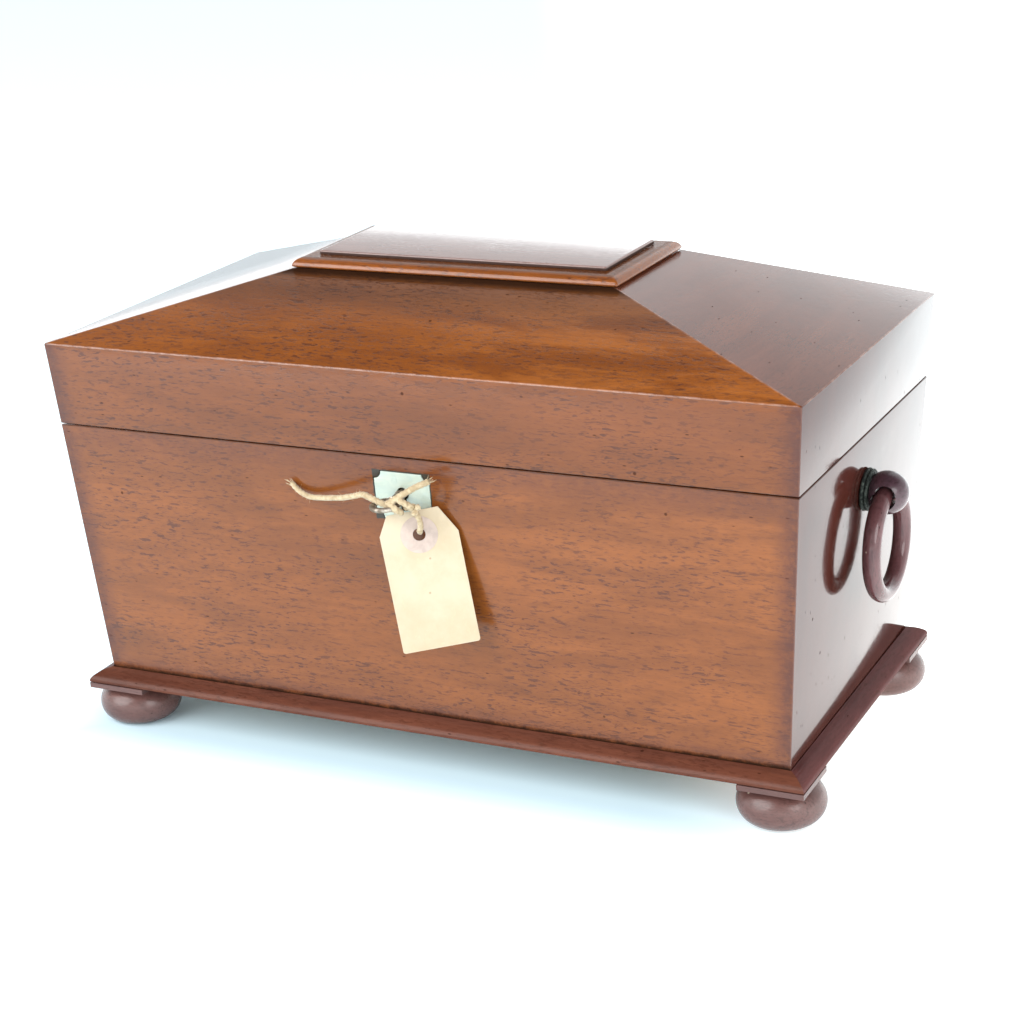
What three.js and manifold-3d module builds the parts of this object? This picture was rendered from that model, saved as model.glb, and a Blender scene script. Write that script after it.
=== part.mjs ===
// A mahogany tea caddy of sarcophagus form, about 1830: a tapering case on bun feet, a hipped lid,
// a ring handle at each end, two lidded tea compartments and a glass mixing bowl between them.
// Millimetres, +X right, +Y back, +Z up, feet standing on z = 0.

import * as THREE from 'three';
import { mergeVertices } from 'three/addons/utils/BufferGeometryUtils.js';
import Module from 'manifold-3d';

const wasm = await Module();
wasm.setup();

// Driving sizes of the case. Half sizes are taken at the eave, the widest edge of the lid.
const EAVE = { halfX: 170, halfY: 87.25, z: 178 };
const TAPER = 0.063;
const WALL = 8;
const MITRE_GAP = 0.15;
const FIT_GAP = 0.3;
const BODY_BOTTOM = 20;
const SEAM_Z = 141.7;
const SEAM_HALF = 0.3;
const BOTTOM_BOARD = { low: 20.2, high: 26.2 };

// Lid: four sloping boards rise from the eave to a flat top.
const LID_TOP = { halfX: 75, halfY: 35.2, z: 203.9 };
const SLOPE_DEPTH = 6.5;
const TOP_BOARD = { halfX: 75.4, halfY: 35.1, low: 204, high: 208.2 };
const TABLET = { halfX: 66.65, halfY: 25.5, low: 208.3, high: 210 };

// Base moulding, corner pads and feet.
const MOULDING_TOP = 25.7;
const MOULDING_OUT = 7.8;
const PAD = { size: 28, low: 17.5, high: 19.8, hole: 6.5 };
const FOOT = { x: 153.4, y: 69, radius: 18.3, core: 10.5, height: 17.2, tenon: 6 };

// Ring handles on the end boards.
const HANDLE = { z: 116.8, ball: 9, ballOut: 9.5, collarRadius: 9, collarFace: 3.4, spigot: 3.6 };
const RING = { radius: 21.2, section: 3.82, hole: 4.4 };

// Lock, key and escutcheon share one line through the front board.
const LOCK = { x: -1.3, keyZ: 126, halfX: 22, low: 115.5, high: 141.3, front: -80.8, back: -73, wall: 1.2 };
const STAPLE_OFFSET = 9;
const ESCUTCHEON = { halfX: 12.65, top: 135.1, bottom: 114.6, notch: 3.3, thick: 1.2 };
const KEY = { endY: -75.2, bowOut: 15, bowHalfX: 5, bowHalfY: 6, bowMean: 5.3, bowSection: 1.3 };

// Butt hinges along the back.
const HINGE = { x: 95, y: 86.6, knuckle: 2.2, pin: 0.9, bore: 1.2, length: 8, gap: 0.4, leaf: 1.1, leafDepth: 8.4 };

// Fittings inside.
const PARTITION = { x: 60, thick: 5, high: 128 };
const FOIL = 0.6;
const INNER_LID = { low: 128.4, high: 132, inner: 58.2 };
const KNOB = { radius: 4.6, height: 11 };
const BOWL_BOARD = { low: 108, high: 112, hole: 47.5 };
const BOWL = { rim: 45, base: 29, wall: 2.8, low: 26.5, high: 131 };

// Paper tag, tied to the bow of the key.
const TAG = { width: 31.85, below: 47.4, above: 9.9, thick: 0.6, hole: 2.6 };
const TAG_LEFT_CLIP = { across: 4.4, from: 1.8 };
const TAG_RIGHT_CLIP = { across: 6.4, from: -1.2 };
const TAG_HOLE = { x: 9.07, y: -91.15, z: 112.14 };
const TAG_YAW = 0.428;
const TAG_PITCH = 0.16;
const TAG_LEAN = 0.144;
const TWINE = 2.2;
const TAIL_ROUTE = [
  [-10.8, -98.4, 129.5],
  [-12.9, -97.9, 129.2],
  [-15.0, -97.3, 128.4],
  [-17.0, -96.6, 127.7],
  [-19.0, -95.9, 127.0],
  [-23.0, -94.4, 125.7],
  [-25.3, -93.6, 125.1],
  [-27.5, -92.8, 124.6],
  [-31.9, -91.2, 123.6],
  [-34.1, -90.4, 123.1],
  [-36.4, -89.6, 122.7],
  [-40.8, -88.2, 121.9],
  [-44.2, -87.2, 121.9],
  [-47.3, -86.5, 122.6],
  [-50.0, -86.0, 124.0],
  [-52.4, -85.7, 126.2],
];

// The overall box reaches from the tip of the key to the hinge knuckles, and its middle is at y = 0.
const frontFaceY = (z) => -(EAVE.halfY + TAPER * (z - EAVE.z));
const KEY_BOW_Y = frontFaceY(LOCK.keyZ) - KEY.bowOut;
const KEY_TIP_Y = KEY_BOW_Y - KEY.bowHalfY * (1 + KEY.bowSection / KEY.bowMean);
const CASE_SHIFT_Y = -(KEY_TIP_Y + HINGE.y + HINGE.knuckle) / 2;

const FINISH = {
  mahogany: { color: 0x8a4b2f, roughness: 0.25, metalness: 0 },
  darkMahogany: { color: 0x4f2a24, roughness: 0.3, metalness: 0 },
  cedar: { color: 0x9a6a45, roughness: 0.6, metalness: 0 },
  shell: { color: 0xd8ddcf, roughness: 0.3, metalness: 0 },
  bronze: { color: 0x3c443c, roughness: 0.55, metalness: 0.7 },
  brass: { color: 0xb08d4a, roughness: 0.35, metalness: 0.9 },
  steel: { color: 0x6b665f, roughness: 0.5, metalness: 0.9 },
  foil: { color: 0x8b8d8e, roughness: 0.5, metalness: 0.8 },
  bone: { color: 0xe6dcc2, roughness: 0.45, metalness: 0 },
  glass: { color: 0xdfe8e6, roughness: 0.05, metalness: 0 },
  paper: { color: 0xe9dfc4, roughness: 0.9, metalness: 0 },
  twine: { color: 0xa88a5c, roughness: 0.95, metalness: 0 },
};

// --- geometry helpers -------------------------------------------------------------------------

function mesh(name, geometry, finish) {
  const piece = new THREE.Mesh(geometry, new THREE.MeshStandardMaterial(FINISH[finish]));
  piece.name = name;
  return piece;
}

function positionsOnly(geometry) {
  const plain = geometry.clone();
  plain.deleteAttribute('normal');
  plain.deleteAttribute('uv');
  return mergeVertices(plain, 1e-5);
}

function toSolid(geometry) {
  const plain = positionsOnly(geometry);
  return new wasm.Manifold(new wasm.Mesh({
    numProp: 3,
    vertProperties: new Float32Array(plain.attributes.position.array),
    triVerts: new Uint32Array(plain.index.array),
  }));
}

function toGeometry(solid) {
  const { vertProperties, triVerts } = solid.getMesh();
  const geometry = new THREE.BufferGeometry();
  geometry.setAttribute('position', new THREE.BufferAttribute(vertProperties, 3));
  geometry.setIndex(new THREE.BufferAttribute(triVerts, 1));
  geometry.computeVertexNormals();
  return geometry;
}

function cut(body, ...tools) {
  return toGeometry(tools.reduce((solid, tool) => solid.subtract(toSolid(tool)), toSolid(body)));
}

function join(first, ...others) {
  return toGeometry(others.reduce((solid, other) => solid.add(toSolid(other)), toSolid(first)));
}

function box(x0, x1, y0, y1, z0, z1) {
  return new THREE.BoxGeometry(x1 - x0, y1 - y0, z1 - z0)
    .translate((x0 + x1) / 2, (y0 + y1) / 2, (z0 + z1) / 2);
}

// A solid between rings of equal length. The outline, if given, triangulates caps that aren't convex.
function loft(rings, outline) {
  const count = rings[0].length;
  const positions = rings.flat().flatMap((p) => [p.x, p.y, p.z]);
  const fan = Array.from({ length: count - 2 }, (_, i) => [0, i + 1, i + 2]);
  const cap = outline ? THREE.ShapeUtils.triangulateShape(outline, []) : fan;
  const last = (rings.length - 1) * count;
  const index = cap.flatMap(([a, b, c]) => [a, c, b, last + a, last + b, last + c]);
  for (let ring = 0; ring + 1 < rings.length; ring += 1) {
    for (let i = 0; i < count; i += 1) {
      const a = ring * count + i;
      const b = ring * count + (i + 1) % count;
      index.push(a, b, b + count, a, b + count, a + count);
    }
  }
  const geometry = new THREE.BufferGeometry();
  geometry.setAttribute('position', new THREE.Float32BufferAttribute(positions, 3));
  geometry.setIndex(signedVolume(positions, index) < 0 ? index.reverse() : index);
  geometry.computeVertexNormals();
  return geometry;
}

function signedVolume(positions, index) {
  const corner = (i) => new THREE.Vector3().fromArray(positions, index[i] * 3);
  let volume = 0;
  for (let i = 0; i < index.length; i += 3) {
    volume += corner(i).dot(corner(i + 1).cross(corner(i + 2))) / 6;
  }
  return volume;
}

// A turned piece: [radius, height] pairs revolved about +Z.
function turned(profile, segments) {
  const points = profile.map(([radius, height]) => new THREE.Vector2(radius, height));
  return new THREE.LatheGeometry(points, segments).rotateX(Math.PI / 2);
}

function rod(radius, length, segments = 16) {
  return new THREE.CylinderGeometry(radius, radius, length, segments).rotateX(Math.PI / 2);
}

function extrude(shape, depth, curveSegments = 8) {
  return new THREE.ExtrudeGeometry(shape, { depth, bevelEnabled: false, curveSegments });
}

// --- the four sides ---------------------------------------------------------------------------

const SIDES = [
  { name: 'front', cos: 0, sin: -1, long: true },
  { name: 'right', cos: 1, sin: 0, long: false },
  { name: 'back', cos: 0, sin: 1, long: true },
  { name: 'left', cos: -1, sin: 0, long: false },
];

// A point given by its distance out of the middle, its place along the side and its height.
function onSide(side, out, along, z) {
  return new THREE.Vector3(out * side.cos - along * side.sin, out * side.sin + along * side.cos, z);
}

function halfSizes(side, z) {
  const shrink = TAPER * (z - EAVE.z);
  const [out, along] = side.long ? [EAVE.halfY, EAVE.halfX] : [EAVE.halfX, EAVE.halfY];
  return { out: out + shrink, along: along + shrink };
}

function taperedBoard(side, low, high) {
  const rings = [low, high].map((z) => {
    const { out, along } = halfSizes(side, z);
    const outer = along - MITRE_GAP;
    const inner = outer - WALL;
    return [
      onSide(side, out, -outer, z),
      onSide(side, out, outer, z),
      onSide(side, out - WALL, inner, z),
      onSide(side, out - WALL, -inner, z),
    ];
  });
  return loft(rings);
}

// A block that fills the case between two heights, from x0 to x1, set back from the boards by a gap.
// A missing x bound follows the end board.
function insideBlock(low, high, x0, x1, gap) {
  const rings = [low, high].map((z) => {
    const shrink = TAPER * (z - EAVE.z) - WALL - gap;
    const endX = EAVE.halfX + shrink;
    const y = EAVE.halfY + shrink;
    const left = x0 ?? -endX;
    const right = x1 ?? endX;
    return [[left, -y], [right, -y], [right, y], [left, y]].map(([px, py]) => new THREE.Vector3(px, py, z));
  });
  return loft(rings);
}

// --- case -------------------------------------------------------------------------------------

function keyholeShape(radius, slotHalf, slotDepth) {
  const angle = Math.acos(slotHalf / radius);
  const shape = new THREE.Shape();
  shape.absarc(0, 0, radius, -angle, Math.PI + angle, false);
  shape.lineTo(-slotHalf, -slotDepth);
  shape.lineTo(slotHalf, -slotDepth);
  shape.closePath();
  return shape;
}

function keyholeCutter(radius, slotHalf, slotDepth, y0, y1) {
  return extrude(keyholeShape(radius, slotHalf, slotDepth), y1 - y0)
    .rotateX(Math.PI / 2)
    .translate(LOCK.x, y1, LOCK.keyZ);
}

function escutcheonShape(grow) {
  const x = ESCUTCHEON.halfX + grow;
  const top = ESCUTCHEON.top - LOCK.keyZ + grow;
  const bottom = ESCUTCHEON.bottom - LOCK.keyZ - grow;
  const notch = ESCUTCHEON.notch;
  const shape = new THREE.Shape();
  shape.moveTo(-x + notch, bottom);
  shape.lineTo(x - notch, bottom);
  shape.absarc(x, bottom, notch, Math.PI, Math.PI / 2, true);
  shape.lineTo(x, top - notch);
  shape.absarc(x, top, notch, -Math.PI / 2, -Math.PI, true);
  shape.lineTo(-x + notch, top);
  shape.absarc(-x, top, notch, 0, -Math.PI / 2, true);
  shape.lineTo(-x, bottom + notch);
  shape.absarc(-x, bottom, notch, Math.PI / 2, 0, true);
  return shape;
}

// Puts a flat piece drawn about the key's axis against the leaning front, at a depth behind its face.
function ontoFront(geometry, depth) {
  const tilt = Math.atan(TAPER);
  return geometry
    .translate(0, 0, -depth)
    .rotateX(Math.PI / 2 + tilt)
    .translate(LOCK.x, frontFaceY(LOCK.keyZ), LOCK.keyZ);
}

function escutcheon() {
  const shape = escutcheonShape(0);
  shape.holes.push(keyholeShape(2.7, 1.5, 7.6));
  return mesh('escutcheon', ontoFront(extrude(shape, ESCUTCHEON.thick, 5), 1.1), 'shell');
}

function frontBoard(side) {
  const recess = ontoFront(extrude(escutcheonShape(FIT_GAP), 3, 5), 1.1 + FIT_GAP);
  const keyhole = keyholeCutter(3.4, 1.9, 8, -90, -70);
  const lockMortise = box(
    LOCK.x - LOCK.halfX - FIT_GAP, LOCK.x + LOCK.halfX + FIT_GAP,
    LOCK.front - FIT_GAP, -60, LOCK.low - FIT_GAP, 150,
  );
  const selvedgeRecess = box(LOCK.x - 27, LOCK.x + 27, -83.3, -60, LOCK.high - 1.6, 150);
  const board = taperedBoard(side, BODY_BOTTOM, SEAM_Z - SEAM_HALF);
  return cut(board, recess, keyhole, lockMortise, selvedgeRecess);
}

function hingeNotches(low, high) {
  return [-1, 1].flatMap((end) => {
    const half = (3 * HINGE.length + 2 * HINGE.gap) / 2 + FIT_GAP;
    const inner = HINGE.y - HINGE.leafDepth - FIT_GAP;
    const leafRoom = box(end * HINGE.x - half, end * HINGE.x + half, inner, 95, low, high);
    const barrelRoom = rod(HINGE.knuckle + 0.5, 2 * half, 16)
      .rotateY(Math.PI / 2)
      .translate(end * HINGE.x, HINGE.y, SEAM_Z);
    return [leafRoom, barrelRoom];
  });
}

function backBoard(side) {
  const board = taperedBoard(side, BODY_BOTTOM, SEAM_Z - SEAM_HALF);
  const leafFloor = SEAM_Z - 0.1 - HINGE.leaf - FIT_GAP;
  return cut(board, ...hingeNotches(leafFloor, 150));
}

function endBoard(side) {
  const hole = handleFrame(side, rod(HANDLE.spigot + FIT_GAP, 40));
  return cut(taperedBoard(side, BODY_BOTTOM, SEAM_Z - SEAM_HALF), hole);
}

const SHAPED_BOARDS = { front: frontBoard, back: backBoard, right: endBoard, left: endBoard };

function caseBoards() {
  return SIDES.map((side) => {
    const name = side.long ? `${side.name}_board` : `${side.name}_end_board`;
    return mesh(name, SHAPED_BOARDS[side.name](side), 'mahogany');
  });
}

// A cushioned slope with a rounded lip, mitred at the corners of the case.
function baseMouldings() {
  const profile = [
    [0, BODY_BOTTOM], [MOULDING_OUT - 0.6, BODY_BOTTOM], [MOULDING_OUT - 0.1, BODY_BOTTOM + 0.3],
    [MOULDING_OUT, BODY_BOTTOM + 0.9], [MOULDING_OUT - 0.5, BODY_BOTTOM + 1.9], [6, 23.2], [3.5, 24.7],
    [0.7, 25.5], [0.4, MOULDING_TOP], [0, MOULDING_TOP],
  ];
  const outline = profile.map(([out, z]) => new THREE.Vector2(out, z));
  return SIDES.map((side) => {
    const { out, along } = halfSizes(side, MOULDING_TOP);
    const ends = [-1, 1].map((end) => profile.map(([step, z]) => {
      const proud = FIT_GAP + step;
      return onSide(side, out + proud, end * (along + proud - MITRE_GAP), z);
    }));
    return mesh(`${side.name}_base_moulding`, loft(ends, outline), 'mahogany');
  });
}

const CORNERS = [
  { name: 'front_left', x: -1, y: -1 },
  { name: 'front_right', x: 1, y: -1 },
  { name: 'back_left', x: -1, y: 1 },
  { name: 'back_right', x: 1, y: 1 },
];

function cornerPad({ name, x, y }) {
  const { out, along } = halfSizes(SIDES[0], MOULDING_TOP);
  const edgeX = along + FIT_GAP + MOULDING_OUT;
  const edgeY = out + FIT_GAP + MOULDING_OUT;
  const centreX = edgeX - PAD.size / 2;
  const centreY = edgeY - PAD.size / 2;
  const half = PAD.size / 2;
  const shape = new THREE.Shape();
  shape.moveTo(-half, -half);
  shape.lineTo(half, -half);
  shape.lineTo(half, half);
  shape.lineTo(-half, half);
  shape.closePath();
  const hole = new THREE.Path();
  hole.absarc(x * (FOOT.x - centreX), y * (FOOT.y - centreY), PAD.hole, 0, 2 * Math.PI, true);
  shape.holes.push(hole);
  const pad = mesh(`${name}_pad`, extrude(shape, PAD.high - PAD.low, 10), 'mahogany');
  pad.position.set(x * centreX, y * centreY, PAD.low);
  return pad;
}

function bunFoot({ name, x, y }) {
  const middle = FOOT.height * 0.48;
  const profile = [[0, 0]];
  for (let step = 0; step <= 8; step += 1) {
    const angle = THREE.MathUtils.degToRad(-90 + step * 19);
    profile.push([
      FOOT.core + (FOOT.radius - FOOT.core) * Math.cos(angle),
      middle + middle * Math.sin(angle),
    ]);
  }
  profile.push([13, FOOT.height], [FOOT.tenon, FOOT.height], [FOOT.tenon, PAD.high], [0, PAD.high]);
  const foot = mesh(`${name}_foot`, turned(profile, 24), 'darkMahogany');
  foot.position.set(x * FOOT.x, y * FOOT.y, 0);
  return foot;
}

// --- handles ----------------------------------------------------------------------------------

// Stands a piece turned about +Z square to an end board, at the height of the handle.
function handleFrame(side, geometry) {
  const faceX = EAVE.halfX + TAPER * (HANDLE.z - EAVE.z);
  const drop = HANDLE.ballOut * TAPER;
  return geometry
    .rotateY(side.cos * (Math.PI / 2 + Math.atan(TAPER)))
    .translate(side.cos * faceX, 0, HANDLE.z + drop);
}

function ballCentre(side) {
  const tilt = Math.atan(TAPER);
  const faceX = EAVE.halfX + TAPER * (HANDLE.z - EAVE.z);
  const drop = HANDLE.ballOut * (TAPER - Math.sin(tilt));
  return new THREE.Vector3(side.cos * (faceX + HANDLE.ballOut * Math.cos(tilt)), 0, HANDLE.z + drop);
}

function handleBoss(side) {
  const { ball, ballOut, collarFace, spigot } = HANDLE;
  const back = collarFace + FIT_GAP;
  const profile = [[0, -WALL + 1], [spigot, -WALL + 1], [spigot, back]];
  const start = Math.asin((back - ballOut) / ball);
  const steps = 8;
  for (let step = 0; step < steps; step += 1) {
    const angle = start + (Math.PI / 2 - start) * (step / steps);
    profile.push([ball * Math.cos(angle), ballOut + ball * Math.sin(angle)]);
  }
  profile.push([0, ballOut + ball]);
  const sagitta = (y) => RING.radius - Math.sqrt(RING.radius ** 2 - y ** 2);
  const depths = [-9.6, -6.4, -3, 3, 6.4, 9.6];
  const flare = [[0, depths[0]], ...depths.map((y) => [RING.hole + sagitta(y), y]), [0, depths.at(-1)]];
  const centre = ballCentre(side);
  const hole = turned(flare, 16).rotateX(Math.PI / 2).translate(centre.x, 0, centre.z);
  return mesh(`${side.name}_handle_boss`, cut(handleFrame(side, turned(profile, 22)), hole), 'darkMahogany');
}

function handleCollar(side) {
  const { collarRadius, collarFace, spigot } = HANDLE;
  const bore = spigot + FIT_GAP;
  const middle = (FIT_GAP + collarFace) / 2;
  const profile = [
    [bore, FIT_GAP], [collarRadius - 0.6, FIT_GAP], [collarRadius, FIT_GAP + 0.5],
    [collarRadius, middle - 0.4], [collarRadius - 0.6, middle], [collarRadius - 0.2, middle + 0.4],
    [collarRadius - 0.4, collarFace - 0.4], [collarRadius - 1.2, collarFace], [bore, collarFace],
    [bore, FIT_GAP],
  ];
  return mesh(`${side.name}_handle_collar`, handleFrame(side, turned(profile, 22)), 'bronze');
}

function handleRing(side) {
  const geometry = new THREE.TorusGeometry(RING.radius, RING.section, 10, 36).rotateY(Math.PI / 2);
  const ring = mesh(`${side.name}_handle_ring`, geometry, 'darkMahogany');
  const centre = ballCentre(side);
  ring.position.set(centre.x, 0, centre.z - RING.radius);
  return ring;
}

// --- lock and key -----------------------------------------------------------------------------

// Half-mortise box lock: a brass case under a selvedge plate with two slots for the staples.
function lockCase() {
  const { x, halfX, low, high, front, back, wall } = LOCK;
  const body = box(x - halfX, x + halfX, front, back, low, high);
  const selvedge = box(x - 26.5, x + 26.5, -83, back, high - 1.3, high);
  const cavity = box(x - halfX + wall, x + halfX - wall, front + wall, back - wall, low + wall, high - 1.3);
  const slots = [-1, 1].map((end) => {
    const slotX = x + end * STAPLE_OFFSET;
    return box(slotX - 1.9, slotX + 1.9, front + wall, back - wall, high - 4, high + 4);
  });
  const keyhole = keyholeCutter(2.7, 1.4, 6.2, front - 2, front + 2);
  const pinHole = rod(1.25, 6).rotateX(Math.PI / 2).translate(x, back, LOCK.keyZ);
  return mesh('lock_case', cut(join(body, selvedge), cavity, ...slots, keyhole, pinHole), 'brass');
}

function drillPin() {
  const pin = rod(0.95, 9.2, 12).rotateX(Math.PI / 2).translate(LOCK.x, -77.6, LOCK.keyZ);
  return mesh('lock_drill_pin', pin, 'steel');
}

// A bar with two upright fingers, each with a beak that enters the eye of a staple.
function lockBolt() {
  const y0 = -77.8;
  const y1 = -76;
  const bar = box(LOCK.x - 17.6, LOCK.x + 10, y0, y1, 131.6, 133.7);
  const fingers = [-1, 1].flatMap((end) => {
    const staple = LOCK.x + end * STAPLE_OFFSET;
    return [
      box(staple - 8.6, staple - 6.2, y0, y1, 133, 138),
      box(staple - 7, staple - 2.4, y0, y1, 135.7, 138),
    ];
  });
  return mesh('lock_bolt', join(bar, ...fingers), 'brass');
}

// A plate under the front rim of the lid with two eyed staples that drop into the lock.
function linkPlate() {
  const underside = SEAM_Z + SEAM_HALF + 0.1;
  const plate = box(LOCK.x - 24, LOCK.x + 24, -82.5, -74.2, underside, underside + 1.4);
  const staples = [-1, 1].map((end) => {
    const x = LOCK.x + end * STAPLE_OFFSET;
    return box(x - 1.1, x + 1.1, -78.9, -74.9, 134, underside + 1);
  });
  const eyes = [-1, 1].map((end) => {
    const x = LOCK.x + end * STAPLE_OFFSET;
    return box(x - 3, x + 3, -78.1, -75.7, 135.1, 138.6);
  });
  return mesh('link_plate', cut(join(plate, ...staples), ...eyes), 'brass');
}

// The key stands in the lock after a quarter turn, its bit and its bow lying level.
function key() {
  const shankEnd = KEY.endY - KEY_BOW_Y - KEY.bowHalfY;
  const collar = KEY.endY - frontFaceY(LOCK.keyZ) + 1.8;
  const shank = turned([
    [0, 9], [1.35, 8.6], [1.35, 0], [2.1, 0], [2.1, collar], [2.9, collar + 0.3], [2.9, collar + 1.2],
    [2.1, collar + 1.6], [1.7, shankEnd - 1.2], [1.9, shankEnd], [0, shankEnd + 0.6],
  ], 12);
  const bit = cut(
    box(-5.2, -1.6, -0.9, 0.9, 0.4, 3.8),
    box(-5.6, -3.6, -2, 2, 1.7, 2.4),
  );
  const bow = new THREE.TorusGeometry(KEY.bowMean, KEY.bowSection, 8, 24)
    .scale(KEY.bowHalfX / KEY.bowMean, KEY.bowHalfY / KEY.bowMean, 1)
    .rotateX(Math.PI / 2)
    .translate(0, 0, KEY.endY - KEY_BOW_Y);
  const solid = join(shank, bit, bow).rotateX(Math.PI / 2);
  const piece = mesh('key', solid, 'steel');
  piece.position.set(LOCK.x, KEY.endY, LOCK.keyZ);
  return piece;
}

// --- lid --------------------------------------------------------------------------------------

function lidRims() {
  const top = EAVE.z - SLOPE_DEPTH - MITRE_GAP;
  const bottom = SEAM_Z + SEAM_HALF;
  const plateRecess = box(LOCK.x - 24.3, LOCK.x + 24.3, -82.8, -60, 130, bottom + 1.8);
  const leafCeiling = SEAM_Z + 0.1 + HINGE.leaf + FIT_GAP;
  const cutters = { front: [plateRecess], back: hingeNotches(130, leafCeiling) };
  return SIDES.map((side) => {
    const rim = taperedBoard(side, bottom, top);
    const tools = cutters[side.name];
    return mesh(`lid_${side.name}_rim`, tools ? cut(rim, ...tools) : rim, 'mahogany');
  });
}

// Each slope is a board with its upper edge cut level, mitred to its neighbours along the hips.
function lidSlopes() {
  return SIDES.map((side) => {
    const eave = halfSizes(side, EAVE.z);
    const under = halfSizes(side, EAVE.z - SLOPE_DEPTH);
    const [topOut, topAlong] = side.long
      ? [LID_TOP.halfY, LID_TOP.halfX]
      : [LID_TOP.halfX, LID_TOP.halfY];
    const rise = LID_TOP.z - EAVE.z;
    const reach = (rise + SLOPE_DEPTH) / rise;
    const innerOut = under.out - (eave.out - topOut) * reach;
    const innerAlong = under.along - (eave.along - topAlong) * reach;
    const face = (out, along, z) => [-1, 1].map((end) => onSide(side, out, end * (along - MITRE_GAP), z));
    const outer = [...face(eave.out, eave.along, EAVE.z), ...face(topOut, topAlong, LID_TOP.z).reverse()];
    const inner = [
      ...face(under.out, under.along, EAVE.z - SLOPE_DEPTH),
      ...face(innerOut, innerAlong, LID_TOP.z).reverse(),
    ];
    return mesh(`lid_${side.name}_slope`, loft([outer, inner]), 'mahogany');
  });
}

// A stack of rectangles: [inset from the half sizes, height] pairs.
function steppedBoard({ halfX, halfY }, levels) {
  const rings = levels.map(([inset, z]) => {
    const x = halfX - inset;
    const y = halfY - inset;
    return [[-x, -y], [x, -y], [x, y], [-x, y]].map(([px, py]) => new THREE.Vector3(px, py, z));
  });
  return loft(rings);
}

function topMoulding() {
  const { low, high } = TOP_BOARD;
  const levels = [
    [1.3, low], [1.3, low + 0.4], [0.3, low + 0.5], [0, low + 0.9], [0, low + 1.5],
    [0.5, low + 2.5], [1.5, low + 3.4], [2.9, low + 4], [4.4, high],
  ];
  return mesh('top_moulding', steppedBoard(TOP_BOARD, levels), 'mahogany');
}

function topTablet() {
  const { low, high } = TABLET;
  return mesh('top_tablet', steppedBoard(TABLET, [[0, low], [0, high - 0.4], [0.4, high]]), 'mahogany');
}

// --- hinges -----------------------------------------------------------------------------------

function barrel(x, length) {
  const wall = [
    [HINGE.bore, -length / 2], [HINGE.knuckle, -length / 2],
    [HINGE.knuckle, length / 2], [HINGE.bore, length / 2], [HINGE.bore, -length / 2],
  ];
  return turned(wall, 14).rotateY(Math.PI / 2).translate(x, HINGE.y, SEAM_Z);
}

// The leaf lies on the board's edge, and its knuckles stand clear of the other leaf's.
function hingeLeaf(name, centre, up, knuckles) {
  const { length, gap, leaf, leafDepth, knuckle, y } = HINGE;
  const low = up > 0 ? SEAM_Z + 0.1 : SEAM_Z - 0.1 - leaf;
  const half = (3 * length + 2 * gap) / 2;
  const plate = box(centre - half, centre + half, y - leafDepth, y - knuckle - 0.3, low, low + leaf);
  const tongues = knuckles.map((slot) => {
    const x = centre + slot * (length + gap);
    return box(x - length / 2, x + length / 2, y - knuckle - 1, y - HINGE.bore - 0.2, low, low + leaf);
  });
  const barrels = knuckles.map((slot) => barrel(centre + slot * (length + gap), length));
  return mesh(name, join(plate, ...tongues, ...barrels), 'brass');
}

function hingePin(name, centre) {
  const length = 3 * HINGE.length + 2 * HINGE.gap;
  const pin = rod(HINGE.pin, length, 12).rotateY(Math.PI / 2).translate(centre, HINGE.y, SEAM_Z);
  return mesh(name, pin, 'brass');
}

const ENDS = [{ name: 'left', sign: -1 }, { name: 'right', sign: 1 }];

function hinges() {
  return ENDS.flatMap(({ name, sign }) => [
    hingeLeaf(`${name}_hinge_case_leaf`, sign * HINGE.x, -1, [-1, 1]),
    hingeLeaf(`${name}_hinge_lid_leaf`, sign * HINGE.x, 1, [0]),
    hingePin(`${name}_hinge_pin`, sign * HINGE.x),
  ]);
}

// --- inside -----------------------------------------------------------------------------------

function bottomBoard() {
  const { low, high } = BOTTOM_BOARD;
  return mesh('bottom_board', insideBlock(low, high, undefined, undefined, FIT_GAP), 'cedar');
}

function partition({ name, sign }) {
  const { x, thick, high } = PARTITION;
  const low = BOTTOM_BOARD.high + 0.2;
  const block = insideBlock(low, high, sign * x - thick / 2, sign * x + thick / 2, FIT_GAP);
  return mesh(`${name}_partition`, block, 'mahogany');
}

function compartmentBlock(sign, low, high, inner, gap) {
  return sign > 0
    ? insideBlock(low, high, inner, undefined, gap)
    : insideBlock(low, high, undefined, -inner, gap);
}

function foilLiner({ name, sign }) {
  const low = BOTTOM_BOARD.high + 0.2;
  const high = PARTITION.high - 0.4;
  const inner = PARTITION.x + PARTITION.thick / 2 + FIT_GAP;
  const outside = compartmentBlock(sign, low, high, inner, FIT_GAP);
  const inside = compartmentBlock(sign, low + FOIL, high + 5, inner + FOIL, FIT_GAP + FOIL);
  return mesh(`${name}_foil_liner`, cut(outside, inside), 'foil');
}

function innerLid({ name, sign }) {
  const panel = compartmentBlock(sign, INNER_LID.low, INNER_LID.high, INNER_LID.inner, 0.5);
  return mesh(`${name}_compartment_lid`, panel, 'mahogany');
}

function innerLidKnob({ name, sign }) {
  const { radius, height } = KNOB;
  const profile = [
    [0, 0], [2.6, 0], [2, 2.2], [2.4, 4], [radius - 0.5, 5.2], [radius, 7], [radius - 0.8, 9.4],
    [2.4, height - 0.4], [0, height],
  ];
  const knob = mesh(`${name}_compartment_knob`, turned(profile, 16), 'bone');
  const outerX = EAVE.halfX + TAPER * (INNER_LID.high - EAVE.z) - WALL;
  knob.position.set(sign * (INNER_LID.inner + outerX) / 2, 0, INNER_LID.high + 0.1);
  return knob;
}

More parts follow.
